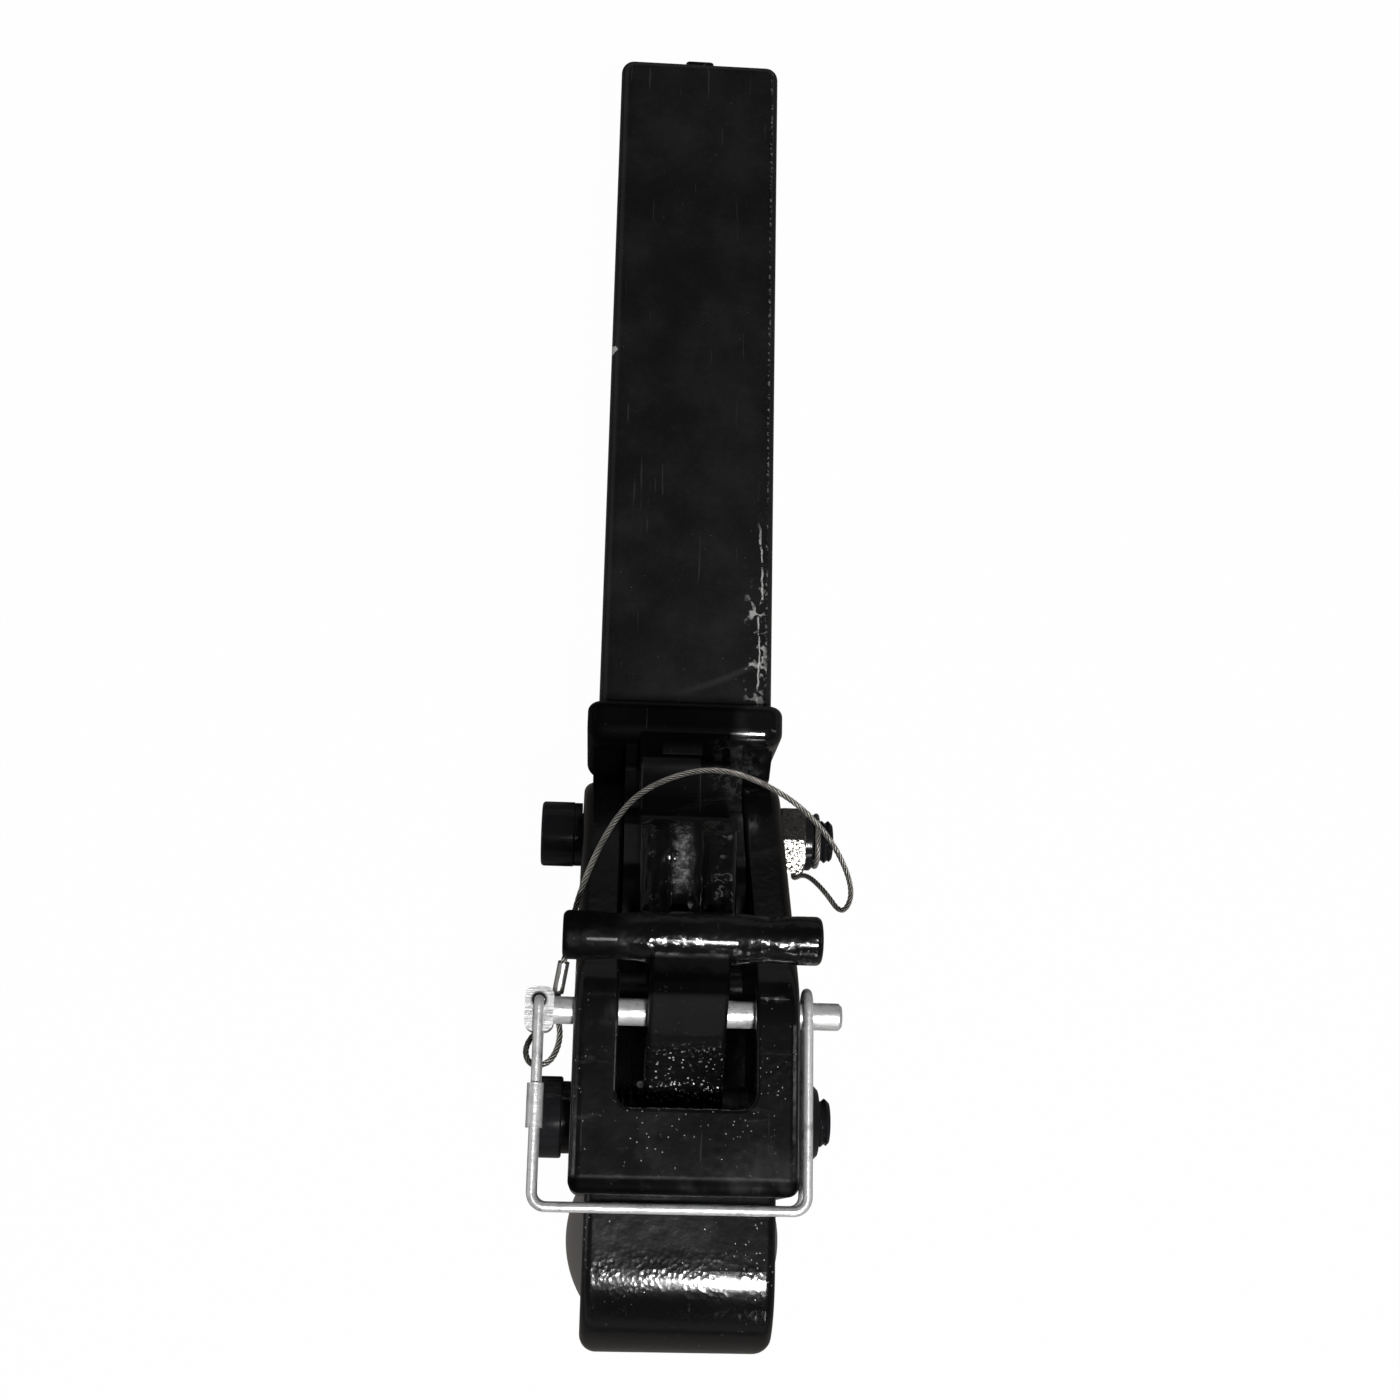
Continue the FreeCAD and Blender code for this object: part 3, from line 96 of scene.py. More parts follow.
# The tow ball and its threaded stud, in millimetres: the place forward of the collar, radii, and heights
# above the hitch-pin hole's middle. The stud's thread start and tip are depths below it.
BALL_FORWARD = 150.6
BALL_HEIGHT = 14.0
BALL_RADIUS = 29.37
BALL_TOP_FLAT = 9.0
NECK_RADIUS = 17.0
NECK_FILLET = 2.5
FLANGE_RADIUS = 23.5
FLANGE_TOP = -20.0
FLANGE_UNDERSIDE = -26.0
STUD_RADIUS = 12.7
STUD_THREAD_START = 46.0
STUD_TIP = 74.0
STUD_THREAD_DEPTH = 1.5
STUD_TIP_BEVEL = 1.6

# The upright hole in the safety pin's head, to the right and to the rear, in metres.
PIN_HOLE = (-0.0378, COLLAR_Y - 0.091)

# The camera's place in metres, and its roll, swing and tilt from straight down, in degrees.
CAMERA_PLACE = (-0.02363, -0.28780, 0.53537)
CAMERA_TURNS = (2.011, -3.008, 15.006)

# Faces of a lathe-turned piece that meet at more than this angle keep a sharp edge.
SHARP_ANGLE = math.radians(32)


# Settings that a user may change

class PaintSettings(bpy.types.PropertyGroup):
    """The black paint on the forgings."""

    colour: FloatVectorProperty(name="Paint", description="Colour of the black paint", subtype="COLOR",
                                size=3, min=0, max=1, default=(0.0036, 0.0036, 0.0041))
    # The dust colour also paints the jaw's glint specks.
    dust: FloatVectorProperty(name="Dust", description="Colour of dust and of scuffed paint",
                              subtype="COLOR", size=3, min=0, max=1, default=(0.16, 0.16, 0.165))
    gloss: FloatProperty(name="Roughness", description="Roughness of clean paint", subtype="FACTOR",
                         min=0, max=1, default=0.15)
    peel: FloatProperty(name="Paint waves", description="Distance between waves in the thick paint",
                        subtype="DISTANCE", unit="LENGTH", min=0.0005, max=0.02, default=0.0045)
    cast_grain: FloatProperty(name="Forging grain", description="Size of the bumps of the rough forging",
                              subtype="DISTANCE", unit="LENGTH", min=0.0003, max=0.01, default=0.0011)


class MetalSettings(bpy.types.PropertyGroup):
    """The uncoated, plated and oxidised metals."""

    zinc: FloatVectorProperty(name="Zinc", description="Bright zinc plate", subtype="COLOR",
                              size=3, min=0, max=1, default=(0.93, 0.93, 0.93))
    chrome: FloatVectorProperty(name="Chrome", description="Chrome plate of the ball", subtype="COLOR",
                                size=3, min=0, max=1, default=(0.63, 0.63, 0.645))
    oxide: FloatVectorProperty(name="Black oxide", description="Oiled black oxide of the bolts",
                               subtype="COLOR", size=3, min=0, max=1, default=(0.008, 0.008, 0.009))
    bronze: FloatVectorProperty(name="Bronze", description="Bronze of the two bushes", subtype="COLOR",
                                size=3, min=0, max=1, default=(0.5, 0.33, 0.15))
    cable: FloatVectorProperty(name="Cable", description="Galvanised strands of the cable", subtype="COLOR",
                               size=3, min=0, max=1, default=(0.93, 0.89, 0.82))


class ThreadSettings(bpy.types.PropertyGroup):
    """The screw threads and the cable's lay."""

    pitch: FloatProperty(name="Bolt pitch", description="Pitch of the half-inch bolts' threads",
                         unit="LENGTH", min=0.0005, max=0.004, default=0.00195)
    depth: FloatProperty(name="Thread depth", description="Depth of a bolt's thread",
                         unit="LENGTH", min=0.0002, max=0.002, default=0.00085)
    ball_pitch: FloatProperty(name="Ball stud pitch", description="Pitch of the thread below the ball",
                              unit="LENGTH", min=0.001, max=0.005, default=0.0032)
    cable_radius: FloatProperty(name="Cable radius", description="Half the cable's diameter",
                                unit="LENGTH", min=0.0003, max=0.003, default=0.0008)
    lay_length: FloatProperty(name="Lay", description="Length of one turn of the cable's strands",
                              unit="LENGTH", min=0.003, max=0.03, default=0.0096)
    strands: IntProperty(name="Strands", description="Strands round the cable's core",
                         min=3, max=9, default=6)


class StageSettings(bpy.types.PropertyGroup):
    """The camera, the lamps and the floor."""

    focal: FloatProperty(name="Focal length", description="Focal length on a 36 mm sensor", unit="CAMERA",
                         min=10, max=200, default=46.305)
    key: FloatProperty(name="Key light", description="Power of the window in front", unit="POWER",
                       min=0, max=500, default=8.0)
    rim: FloatProperty(name="Side lights", description="Power of the two side strips", unit="POWER",
                       min=0, max=500, default=0.25)


class OBJECT_PG_hook(bpy.types.PropertyGroup):
    """All the settings of the hook's looks."""

    paint: PointerProperty(type=PaintSettings)
    metal: PointerProperty(type=MetalSettings)
    thread: PointerProperty(type=ThreadSettings)
    stage: PointerProperty(type=StageSettings)


# Shader maths as expressions

class Value:
    """A socket that can be used in sums: each operator adds its Math node."""

    def __init__(self, nodes, socket):
        self.nodes = nodes
        self.socket = socket

    def maths(self, operation, *parts):
        """A Math node of the parts, in order."""
        return self.nodes.node("ShaderNodeMath", {"operation": operation}, *parts)

    def __add__(self, other):
        return self.maths("ADD", self, other)

    def __sub__(self, other):
        return self.maths("SUBTRACT", self, other)

    def __rsub__(self, other):
        return self.maths("SUBTRACT", other, self)

    def __mul__(self, other):
        return self.maths("MULTIPLY", self, other)

    def __pow__(self, other):
        return self.maths("POWER", self, other)

    def __abs__(self):
        return self.maths("ABSOLUTE", self)

    __radd__ = __add__
    __rmul__ = __mul__

    def capped(self):
        """The lesser of the value and 1."""
        return self.maths("MINIMUM", self, 1.0)

    def fade(self, low, high):
        """0 up to low and 1 from high, smoothly between; low above high turns it round."""
        return self.nodes.node("ShaderNodeMapRange", {"interpolation_type": "SMOOTHSTEP"}, self, low, high)


class Nodes:
    """A node tree to which one method adds every node."""

    def __init__(self, tree):
        self.tree = tree

    def node(self, kind, settings, *values, output=0, **named):
        """Adds a node: settings first, then values or links by order or by name; gives one output."""
        made = self.tree.nodes.new(kind)
        for key, value in settings.items():
            if key == "stops":
                self.set_stops(made.color_ramp.elements, value)
            else:
                setattr(made, key, value)
        for key, value in [*enumerate(values), *named.items()]:
            if value is not None:
                self.feed(made.inputs[key if isinstance(key, int) else key.replace("_", " ")], value)
        return Value(self, made.outputs[output])

    def set_stops(self, elements, stops):
        """Gives a new ramp its stops, each a position and a colour: both ends first, then the rest."""
        for element, (position, colour) in zip(elements, (stops[0], stops[-1])):
            element.position = position
            element.color = colour
        for position, colour in stops[1:-1]:
            elements.new(position).color = colour

    def feed(self, socket, value):
        """Links a value to a socket, or sets the socket to a constant."""
        if isinstance(value, Value):
            self.tree.links.new(value.socket, socket)
        else:
            socket.default_value = value

    def colours(self, mask, first, second):
        """A mix of two colours by a mask; the node's colour sockets come after five for other types."""
        return self.node("ShaderNodeMix", {"data_type": "RGBA"}, mask, None, None, None, None, None,
                         first, second, output=2)


class Finish(Nodes):
    """A material with one Principled shader, built by expressions."""

    def __init__(self, name):
        self.material = bpy.data.materials.new(name)
        self.material.use_nodes = True
        super().__init__(self.material.node_tree)
        self.shader = next(node for node in self.tree.nodes if node.type == "BSDF_PRINCIPLED")
        self.place = self.node("ShaderNodeTexCoord", {}, output="Object")

    def axis(self, letter):
        """One coordinate of the surface in the hook's own frame, in metres."""
        return self.node("ShaderNodeSeparateXYZ", {}, self.place, output="XYZ".index(letter))

    def noise(self, scale, detail=3.0, roughness=0.55, vector=None):
        """Fractal noise about 0.5; scale is how many waves there are in a metre."""
        return self.node("ShaderNodeTexNoise", {}, Vector=vector or self.place, Scale=scale,
                         Detail=detail, Roughness=roughness)

    def streaks(self, scales, detail, roughness):
        """Noise with its own scale along X, Y and Z, so that it draws out into lines."""
        stretched = self.node("ShaderNodeVectorMath", {"operation": "MULTIPLY"}, self.place, scales)
        return self.noise(1.0, detail, roughness, stretched)

    def cells(self, scale):
        """Distance to the nearest of many scattered points, as a share of a cell."""
        return self.node("ShaderNodeTexVoronoi", {}, output="Distance", Vector=self.place, Scale=scale)

    def between(self, letter, low, high, soft):
        """1 where the coordinate lies between low and high, with soft edges, in metres."""
        at = self.axis(letter)
        return at.fade(low - soft, low + soft) * at.fade(high + soft, high - soft)

    def bump(self, height, distance=MM, strength=1.0):
        """A normal tilted by the height, which is in millimetres unless another distance is given."""
        return self.node("ShaderNodeBump", {}, Strength=strength, Distance=distance, Height=height)

    def set(self, **values):
        """Sets or links the shader's sockets, named with underscores."""
        for key, value in values.items():
            self.feed(self.shader.inputs[key.replace("_", " ")], value)
        return self


def wear(finish, piece):
    """Put a finish on a CAD node or a new piece, in every slot."""
    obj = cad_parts[piece] if isinstance(piece, str) else piece
    obj.data.materials.clear()
    obj.data.materials.append(finish.material)
    obj.data.polygons.foreach_set("material_index", np.zeros(len(obj.data.polygons), np.int32))


def tint(colour, share=1.0):
    """A colour with its alpha, made darker or lighter by a share."""
    return (*(part * share for part in colour), 1.0)


# Finishes, one function each

def black_paint(name, settings, pebbles, dust_amount, marks):
    """Thick gloss paint over a forging: broad waves, cast pebbles, dust specks, scuffs, worn edges, painted
    glints and shade.

    pebbles is how rough the forging below is, and marks gives this piece's own masks: worn-through steel and
    painted glints in steel grey, scuffs and painted glints in the dust colour, height in millimetres, and
    painted shade, where the paint becomes a black metal that shows no highlight.
    """
    finish = Finish(name)
    # Steel grey for worn-through paint, also used for the painted glints on the jaw and the latch.
    steel_and_glint_grey = (0.62, 0.61, 0.59, 1.0)
    waves = finish.noise(1 / settings.peel, 3.0, 0.5)
    grain = finish.noise(1 / settings.cast_grain / 2, 2.0, 0.6)
    rough_zone = finish.noise(28, 2.0).fade(0.42, 0.62) * pebbles
    pocks = finish.cells(1 / settings.cast_grain / 3).fade(0.55, 0.1)
    height = waves * 0.09 + grain * 0.02 + pocks * rough_zone * 0.10
    flecks = finish.cells(900).fade(0.15, 0.05) * finish.noise(60, 4.0, 0.7).fade(0.58, 0.68)
    lint = finish.cells(260).fade(0.07, 0.03) * finish.noise(35, 2.0).fade(0.45, 0.6)
    film = finish.noise(26, 6.0, 0.65).fade(0.4, 0.8)
    hair = finish.streaks((900, 42, 900), 2.0, 0.5).fade(0.69, 0.735)
    dusty = (flecks + lint) * dust_amount
    # The piece's masks: worn-through steel and painted glints, scuffs and painted glints, height, and painted
    # shade.
    bare_and_glints, own_scuff_and_glints, own_height, painted_shade = marks(finish)
    scuffs = dusty * 0.5 + hair * 0.12 + film * 0.05 * dust_amount + own_scuff_and_glints
    colour = finish.colours(scuffs.capped(), tint(settings.colour), tint(settings.dust))
    colour = finish.colours(bare_and_glints, colour, steel_and_glint_grey)
    # Painted shade makes the paint a black, rougher metal without coat, so that no highlight shows there.
    roughness = settings.gloss + film * 0.10 + dusty * 0.3 + bare_and_glints * 0.2 + painted_shade * 0.5
    return finish.set(Base_Color=colour, Roughness=roughness, Normal=finish.bump(height + own_height),
                      Metallic=painted_shade, Coat_Weight=(1.0 - painted_shade) * 0.25, Coat_Roughness=0.12)


def shank_marks(finish):
    """The shank's flaked edge, worn corner, chip, smear and handled top, as worn-through steel and scuffs."""
    x, y, z = (finish.axis(letter) for letter in "XYZ")
    on_top = z.fade(0.0225, 0.0245)
    edge = (finish.noise(70, 3.0) - 0.5) * 0.006 + 0.0215
    edge_line = abs(x - edge).fade(0.0004, 0.0001) * finish.between("Y", -0.150, -0.098, 0.004)
    flake_zone = finish.between("X", 0.0175, 0.0232, 0.001) * finish.between("Y", -0.149, -0.118, 0.006)
    flakes = flake_zone * finish.cells(420).fade(0.52, 0.60) * finish.noise(230, 2.0).fade(0.5, 0.58)
    flaked = (edge_line * finish.noise(300, 4.0, 0.7).fade(0.40, 0.47) + flakes * 0.8) * on_top
    corner = abs(x - 0.0234).fade(0.0005, 0.0001) * y.fade(-0.15, -0.14)
    corner_worn = corner * finish.noise(600, 3.0, 0.7).fade(0.52, 0.62)
    reach = ((x + 0.0252) ** 2.0 + (y + 0.0394) ** 2.0) ** 0.5
    ragged = reach + (finish.noise(700, 2.0) - 0.5) * 0.0014
    chip = ragged.fade(0.0015, 0.0011) * z.fade(0.0200, 0.0215)
    smear_line = abs(y - (-0.1515 + (x + 0.021) ** 2.0 * 7.0)).fade(0.0016, 0.0002)
    smear = smear_line * on_top * x.fade(-0.008, 0.012)
    rear_burr = z.fade(0.012, 0.0235) * y.fade(0.061, 0.0632) * finish.noise(500, 3.0).fade(0.5, 0.62)
    cloud = finish.noise(45, 5.0, 0.65).fade(0.35, 0.75) * 0.06
    grains = finish.noise(1400, 3.0, 0.7).fade(0.55, 0.75) * 0.05
    handled = on_top * y.fade(-0.152, -0.149) * (cloud + grains + 0.03)
    bare_and_glints = (flaked * 0.85 + corner_worn * 0.35 + chip).capped()
    return bare_and_glints, smear * 0.10 + rear_burr * 0.35 + handled


def tongue_marks(finish):
    """The tongue's forging flash, lobes, dents, ripples and two stepped outlines, as scuffs and height."""
    x = finish.axis("X")
    on_block = finish.axis("Z").fade(0.058, 0.0625)
    on_neck = finish.between("Z", 0.030, 0.036, 0.001)
    flash_wander = (finish.noise(130, 4.0) - 0.5) * 0.006
    flash_line = abs(x + 0.0015 + flash_wander).fade(0.0036, 0.0014)
    flash = flash_line * on_block * finish.between("Y", -0.214, -0.190, 0.002)
    flash_rough = finish.noise(520, 4.0, 0.75)
    step_rear = finish.between("X", -0.0065, 0.0049, 0.0003) * finish.between("Y", -0.1686, -0.1607, 0.0003)
    step_front = finish.between("X", -0.0123, 0.0044, 0.0003) * finish.between("Y", -0.1856, -0.1698, 0.0003)
    steps = (step_rear + step_front).capped() * on_neck
    ripples = finish.streaks((60, 700, 60), 2.0, 0.5) * finish.between("Y", -0.190, -0.172, 0.002) * on_neck
    wander = (finish.noise(90, 3.0) - 0.5) * 0.004
    lobes = abs(x + 0.0069 + wander).fade(0.0042, 0.0) + abs(x - 0.0066 + wander).fade(0.0042, 0.0)
    dents = finish.noise(150, 1.0, 0.5)
    torn = finish.noise(420, 4.0, 0.7).fade(0.47, 0.56)
    web_flakes = finish.between("X", 0.008, 0.024, 0.002) * finish.between("Y", -0.180, -0.164, 0.003) * torn
    scuff = (flash * (0.14 + flash_rough.fade(0.45, 0.65) * 0.9) + steps * (1.0 - steps) * 0.7
             + web_flakes * 0.16)
    height = (flash * flash_rough * 0.7 + steps * 0.4 + ripples * 0.2
              + (lobes * 1.6 + dents * 1.8) * on_block)
    return scuff, height


def body_marks(finish):
    """The shank's and the tongue's marks, and painted shade that takes the highlight off the middle of the
    collar.
    """
    bare_and_glints, shank_scuff = shank_marks(finish)
    tongue_scuff, height = tongue_marks(finish)
    # Painted shade: in the middle of the collar, the paint becomes a black metal with no highlight.
    collar_middle = finish.between("X", -0.0300, 0.0165, 0.004) * finish.between("Y", -0.172, -0.1535, 0.001)
    return bare_and_glints, shank_scuff + tongue_scuff, height, collar_middle


def jaw_marks(finish):
    """The beak's pimples, grit and fall to the left, the flat top's pinholes and smudges, painted glints on
    the pimples and pinholes, the rough patch, and painted shade on the brow.
    """
    y, z = finish.axis("Y"), finish.axis("Z")
    on_beak = y.fade(-0.292, -0.297)
    pimples = finish.cells(640).fade(0.22, 0.08) * finish.noise(60, 2.0).fade(0.42, 0.52)
    pimples = pimples * y.fade(-0.319, -0.313)
    grit = finish.cells(750) * finish.noise(90, 3.0).fade(0.35, 0.55)
    grit = grit * finish.between("Y", -0.3210, -0.3060, 0.004)
    on_top = z.fade(0.0735, 0.0750)
    pinholes = finish.cells(560).fade(0.15, 0.05) * on_top * finish.noise(50, 2.0).fade(0.40, 0.54)
    smudge = finish.streaks((55, 33, 55), 4.0, 0.65).fade(0.52, 0.72) * on_top
    sanded = finish.streaks((90, 380, 90), 3.0, 0.6).fade(0.6, 0.75) * on_top
    patch = finish.between("X", 0.019, 0.029, 0.003) * finish.between("Y", -0.2620, -0.2550, 0.003)
    past_block = y + 0.2915
    fall = past_block.maths("MINIMUM", past_block, 0.0) * (0.022 - finish.axis("X")) * 1100.0
    height = (fall + (pimples * 0.10 + grit * 0.08) * on_beak + pinholes * 0.10
              + patch * finish.cells(600) * 0.1)
    # Painted shade: along the front edge of the flat top, the paint becomes a black metal with no highlight.
    brow = finish.between("Y", -0.2935, -0.2870, 0.0008) * z.fade(0.0690, 0.0715)
    # Painted glints: light specks on the beak's pimples and the top's pinholes, in steel grey and in the dust
    # colour.
    dots = (pimples * on_beak * 0.7 + pinholes).capped()
    return dots * 0.4, smudge * 0.14 + sanded * 0.10 + dots * 0.6, height, brow


def latch_marks(finish):
    """Cast pebbles with painted glints on the stem's slope, sparse specks above them, hammer dents on the
    T-handle, and painted shade under the handle, on the stem below it and at its left end.
    """
    y, z = finish.axis("Y"), finish.axis("Z")
    slope = y.fade(-0.2525, -0.2585) * z.fade(0.048, 0.052)
    stem = y.fade(-0.238, -0.243)
    pebbles = finish.cells(700) * finish.noise(140, 3.0).fade(0.2, 0.5)
    specks = finish.cells(480).fade(0.16, 0.03) * finish.noise(90, 2.0).fade(0.5, 0.62)
    bar = y.fade(-0.240, -0.2375)
    dents = finish.noise(150, 2.0, 0.5) * 0.9 + finish.noise(420, 2.0) * 0.12
    # Painted shade: under the T-handle, on the stem below it and at the handle's left end, the paint becomes
    # a black metal with no highlight.
    under_bar = finish.between("Y", -0.2430, -0.2335, 0.001) * finish.between("X", -0.0115, 0.0115, 0.0005)
    height = pebbles * slope * 0.5 + specks * stem * 0.18 + dents * bar * 1.2
    left_end = finish.axis("X").fade(-0.013, -0.020) * bar
    below_bar = y.fade(-0.2425, -0.2440) * y.fade(-0.2560, -0.2535)
    # Painted glints: steel-grey specks on the slope's pebbles, standing in for sparkles of light on the cast
    # surface.
    glints = finish.cells(760).fade(0.28, 0.12) * slope * finish.noise(120, 3.0).fade(0.36, 0.52)
    return glints * 0.8, specks * 0.2, height, (under_bar + left_end * 0.85 + below_bar * 0.5).capped()


def zinc_plate(name, colour, hole=None):
    """Bright zinc: soft spangle, fine draw lines, small dark specks, a darker, rougher bloom, and painted
    shade round a hole.
    """
    finish = Finish(name)
    # Tarnish colours the dark specks; the near-black paints the shade round a hole.
    tarnish, grime_and_shade = (0.07, 0.065, 0.06, 1.0), (0.012, 0.011, 0.010, 1.0)
    bloom = finish.noise(240, 4.0, 0.6)
    spangle = finish.cells(900)
    lines = finish.streaks((300, 2600, 2600), 2.0, 0.5)
    specks = finish.cells(700).fade(0.14, 0.06) * finish.noise(150, 3.0).fade(0.5, 0.62)
    dark = bloom.fade(0.46, 0.72) * 0.7
    shade = finish.colours(dark, tint(colour), tint(colour, 0.42))
    shade = finish.colours(specks * 0.7, shade, tarnish)
    # Painted shade: a dark ring round the rim of the hole.
    if hole:
        x, y = finish.axis("X") - hole[0], finish.axis("Y") - hole[1]
        ring = ((x * x + y * y) ** 0.5 + (bloom - 0.5) * 0.0006).fade(0.0026, 0.0016)
        shade = finish.colours(ring, shade, grime_and_shade)
    bumped = finish.bump(bloom * 0.10 + lines * 0.06 + spangle * 0.03)
    return finish.set(Base_Color=shade, Roughness=bloom * 0.2 + 0.28 + specks * 0.2, Metallic=0.6,
                      Normal=bumped)


def black_oxide(name, colour):
    """Oiled black oxide: nearly black and glossy, with fine turning marks and a faint cloud."""
    finish = Finish(name)
    turned = finish.streaks((2400, 120, 120), 2.0, 0.5)
    cloud = finish.noise(180, 4.0, 0.6)
    shade = finish.colours(cloud, tint(colour), tint(colour, 2.0))
    return finish.set(Base_Color=shade, Roughness=cloud * 0.10 + 0.09, Specular_IOR_Level=0.3,
                      Normal=finish.bump(turned * 0.02 + cloud * 0.05))


def worn_nut(name):
    """The lock nut's flats: bright steel under speckled remains of its black."""
    finish = Finish(name)
    bright_steel, old_black = (0.74, 0.72, 0.67, 1.0), (0.05, 0.05, 0.05, 1.0)
    left_over = finish.noise(1300, 4.0, 0.8).fade(0.51, 0.59)
    cloud = finish.noise(300, 3.0)
    shade = finish.colours(left_over, bright_steel, old_black)
    return finish.set(Base_Color=shade, Roughness=cloud * 0.16 + 0.10 + left_over * 0.15, Metallic=1.0,
                      Normal=finish.bump(left_over * 0.03 + cloud * 0.06))


def chrome_plate(name, colour):
    """Chrome on a turned ball: nearly a mirror, with faint rings, haze and a few fine scratches."""
    finish = Finish(name)
    haze = finish.noise(70, 4.0, 0.6)
    rings = finish.streaks((60, 60, 3200), 1.0, 0.5)
    hairs = finish.streaks((2200, 90, 700), 2.0, 0.5).fade(0.66, 0.72)
    shade = finish.colours(haze.fade(0.5, 0.9), tint(colour), tint(colour, 0.86))
    bumped = finish.bump(rings * 0.5 + hairs * 0.4, 0.00006, 0.3)
    return finish.set(Base_Color=shade, Roughness=haze * 0.08 + 0.05 + hairs * 0.1, Metallic=1.0,
                      Normal=bumped)


def bush_bronze(name, colour):
    """Oil-soaked sintered bronze: warm, pored and matt."""
    finish = Finish(name)
    pores = finish.cells(1500).fade(0.3, 0.1)
    cloud = finish.noise(300, 3.0)
    shade = finish.colours(cloud.fade(0.3, 0.8), tint(colour), tint(colour, 0.5))
    return finish.set(Base_Color=shade, Roughness=cloud * 0.2 + 0.32, Metallic=0.9,
                      Normal=finish.bump(pores, 0.0001, 0.5))


def spring_steel(name):
    """Phosphated spring wire: dark grey and satin, with a paler cloud."""
    finish = Finish(name)
    dark_grey, worn_grey = (0.035, 0.035, 0.037, 1.0), (0.09, 0.09, 0.092, 1.0)
    cloud = finish.noise(500, 4.0, 0.6)
    shade = finish.colours(cloud.fade(0.3, 0.7), dark_grey, worn_grey)
    return finish.set(Base_Color=shade, Roughness=cloud * 0.2 + 0.3, Metallic=0.7,
                      Normal=finish.bump(cloud, 0.0001, 0.4))


def ferrule_aluminium(name):
    """Pressed aluminium: pale, with tool marks across it and dark dirt in the hollows."""
    finish = Finish(name)
    clean, grimy = (0.66, 0.65, 0.63, 1.0), (0.28, 0.27, 0.25, 1.0)
    marks = finish.streaks((500, 1800, 1400), 3.0, 0.6)
    grime_and_shade = finish.noise(380, 4.0, 0.65).fade(0.5, 0.75)
    shade = finish.colours(grime_and_shade, clean, grimy)
    return finish.set(Base_Color=shade, Roughness=marks * 0.2 + 0.28, Metallic=0.95,
                      Normal=finish.bump(marks + grime_and_shade * 0.3, 0.00025, 0.5))


def cable_metal(name, colour):
    """Galvanised wires: the piece's own UV map runs along each strand, and fine wires lie across it."""
    finish = Finish(name)
    shadow = (0.02, 0.018, 0.016, 1.0)
    strand_uv = finish.node("ShaderNodeUVMap", {"uv_map": "strand"})
    along = finish.node("ShaderNodeSeparateXYZ", {}, strand_uv, output=0)
    across = finish.node("ShaderNodeSeparateXYZ", {}, strand_uv, output=1)
    turns = across * 7.0 + along * 900.0
    wires = turns.maths("FRACT", turns)
    crown = 1.0 - abs(wires - 0.5) * 2.0
    gap = crown.fade(0.35, 0.05)
    grime_and_shade = finish.noise(260, 4.0, 0.6)
    shade = finish.colours(grime_and_shade.fade(0.4, 0.75), tint(colour), tint(colour, 0.5))
    hidden = abs(across - 0.5).fade(0.46, 0.26)
    shade = finish.colours((gap * 0.3 + hidden).capped(), shade, shadow)
    return finish.set(Base_Color=shade, Roughness=grime_and_shade * 0.15 + 0.34, Metallic=0.6,
                      Normal=finish.bump(crown ** 0.5, 0.00012, 0.6))


# Surfaces as grids of points

def grid_faces(rows, columns):
    """Corner numbers of the quads between neighbouring rings of points, each ring closed on itself."""
    column = np.arange(columns)
    corner = np.arange(rows - 1)[:, None] * columns + column
    beside = np.arange(rows - 1)[:, None] * columns + (column + 1) % columns
    return np.stack([corner, beside, beside + columns, corner + columns], axis=-1).reshape(-1, 4)


def make_piece(name, points, faces):
    """A smooth mesh object at the origin from arrays of points (metres) and quads."""
    mesh = bpy.data.meshes.new(name)
    mesh.vertices.add(len(points))
    mesh.vertices.foreach_set("co", np.asarray(points, np.float32).ravel())
    mesh.loops.add(faces.size)
    mesh.loops.foreach_set("vertex_index", faces.astype(np.int32).ravel())
    mesh.polygons.add(len(faces))
    mesh.polygons.foreach_set("loop_start", np.arange(0, faces.size, 4, dtype=np.int32))
    mesh.polygons.foreach_set("use_smooth", np.full(len(faces), True))
    mesh.update(calc_edges=True)
    mesh.validate()
    obj = bpy.data.objects.new(name, mesh)
    bpy.context.scene.collection.objects.link(obj)
    return obj


def thread_rows(start, tip, radius, depth, pitch, angle, bevel):
    """Rings of a screw thread from start to tip: radius - depth |2 frac(along / pitch - a / turn) - 1|,
    growing over the first turn and cut back to a cone of the bevel's width at the tip."""
    rows = []
    for along in np.arange(start, tip, pitch / 12):
        wave = np.abs(2 * np.mod(along / pitch - angle / (2 * np.pi), 1.0) - 1)
        grown = min(1.0, (along - start) / pitch)
        cone = radius - max(0.0, bevel - (tip - along))
        rows.append((along, np.minimum(radius - depth * grown * wave, cone)))
    rows.append((tip, np.minimum(rows[-1][1], radius - bevel)))
    return rows


def turned_rings(rows, angle):
    """A turned piece's coordinates from rows of a place along its axis and the radii r there: the place, and
    r cos a and r sin a for every angle a."""
    along = np.array([place for place, _ in rows])[:, None] + np.zeros_like(angle)
    radii = np.array([radii for _, radii in rows])
    return along, radii * np.cos(angle), radii * np.sin(angle)


def closed_ends(rings):
    """Rings of points with both ends drawn in to their middles, so that the surface is closed."""
    first = np.repeat(rings[:1].mean(axis=1, keepdims=True), rings.shape[1], axis=1)
    last = np.repeat(rings[-1:].mean(axis=1, keepdims=True), rings.shape[1], axis=1)
    return np.concatenate([first, rings, last])


# Pieces and the stage, one operator each

class HOOK_OT_forgings(bpy.types.Operator):
    """Paint the shank's forging, the jaw and the latch"""
    bl_idname = "hook.forgings"
    bl_label = "Painted forgings"

    def execute(self, context):
        paint = context.scene.hook.paint
        wear(black_paint("black_paint_body", paint, 0.25, 0.6, body_marks), "hitch_body")
        wear(black_paint("black_paint_jaw", paint, 0.3, 1.0, jaw_marks), "upper_jaw")
        wear(black_paint("black_paint_latch", paint, 0.4, 0.8, latch_marks), "latch")
        return {"FINISHED"}


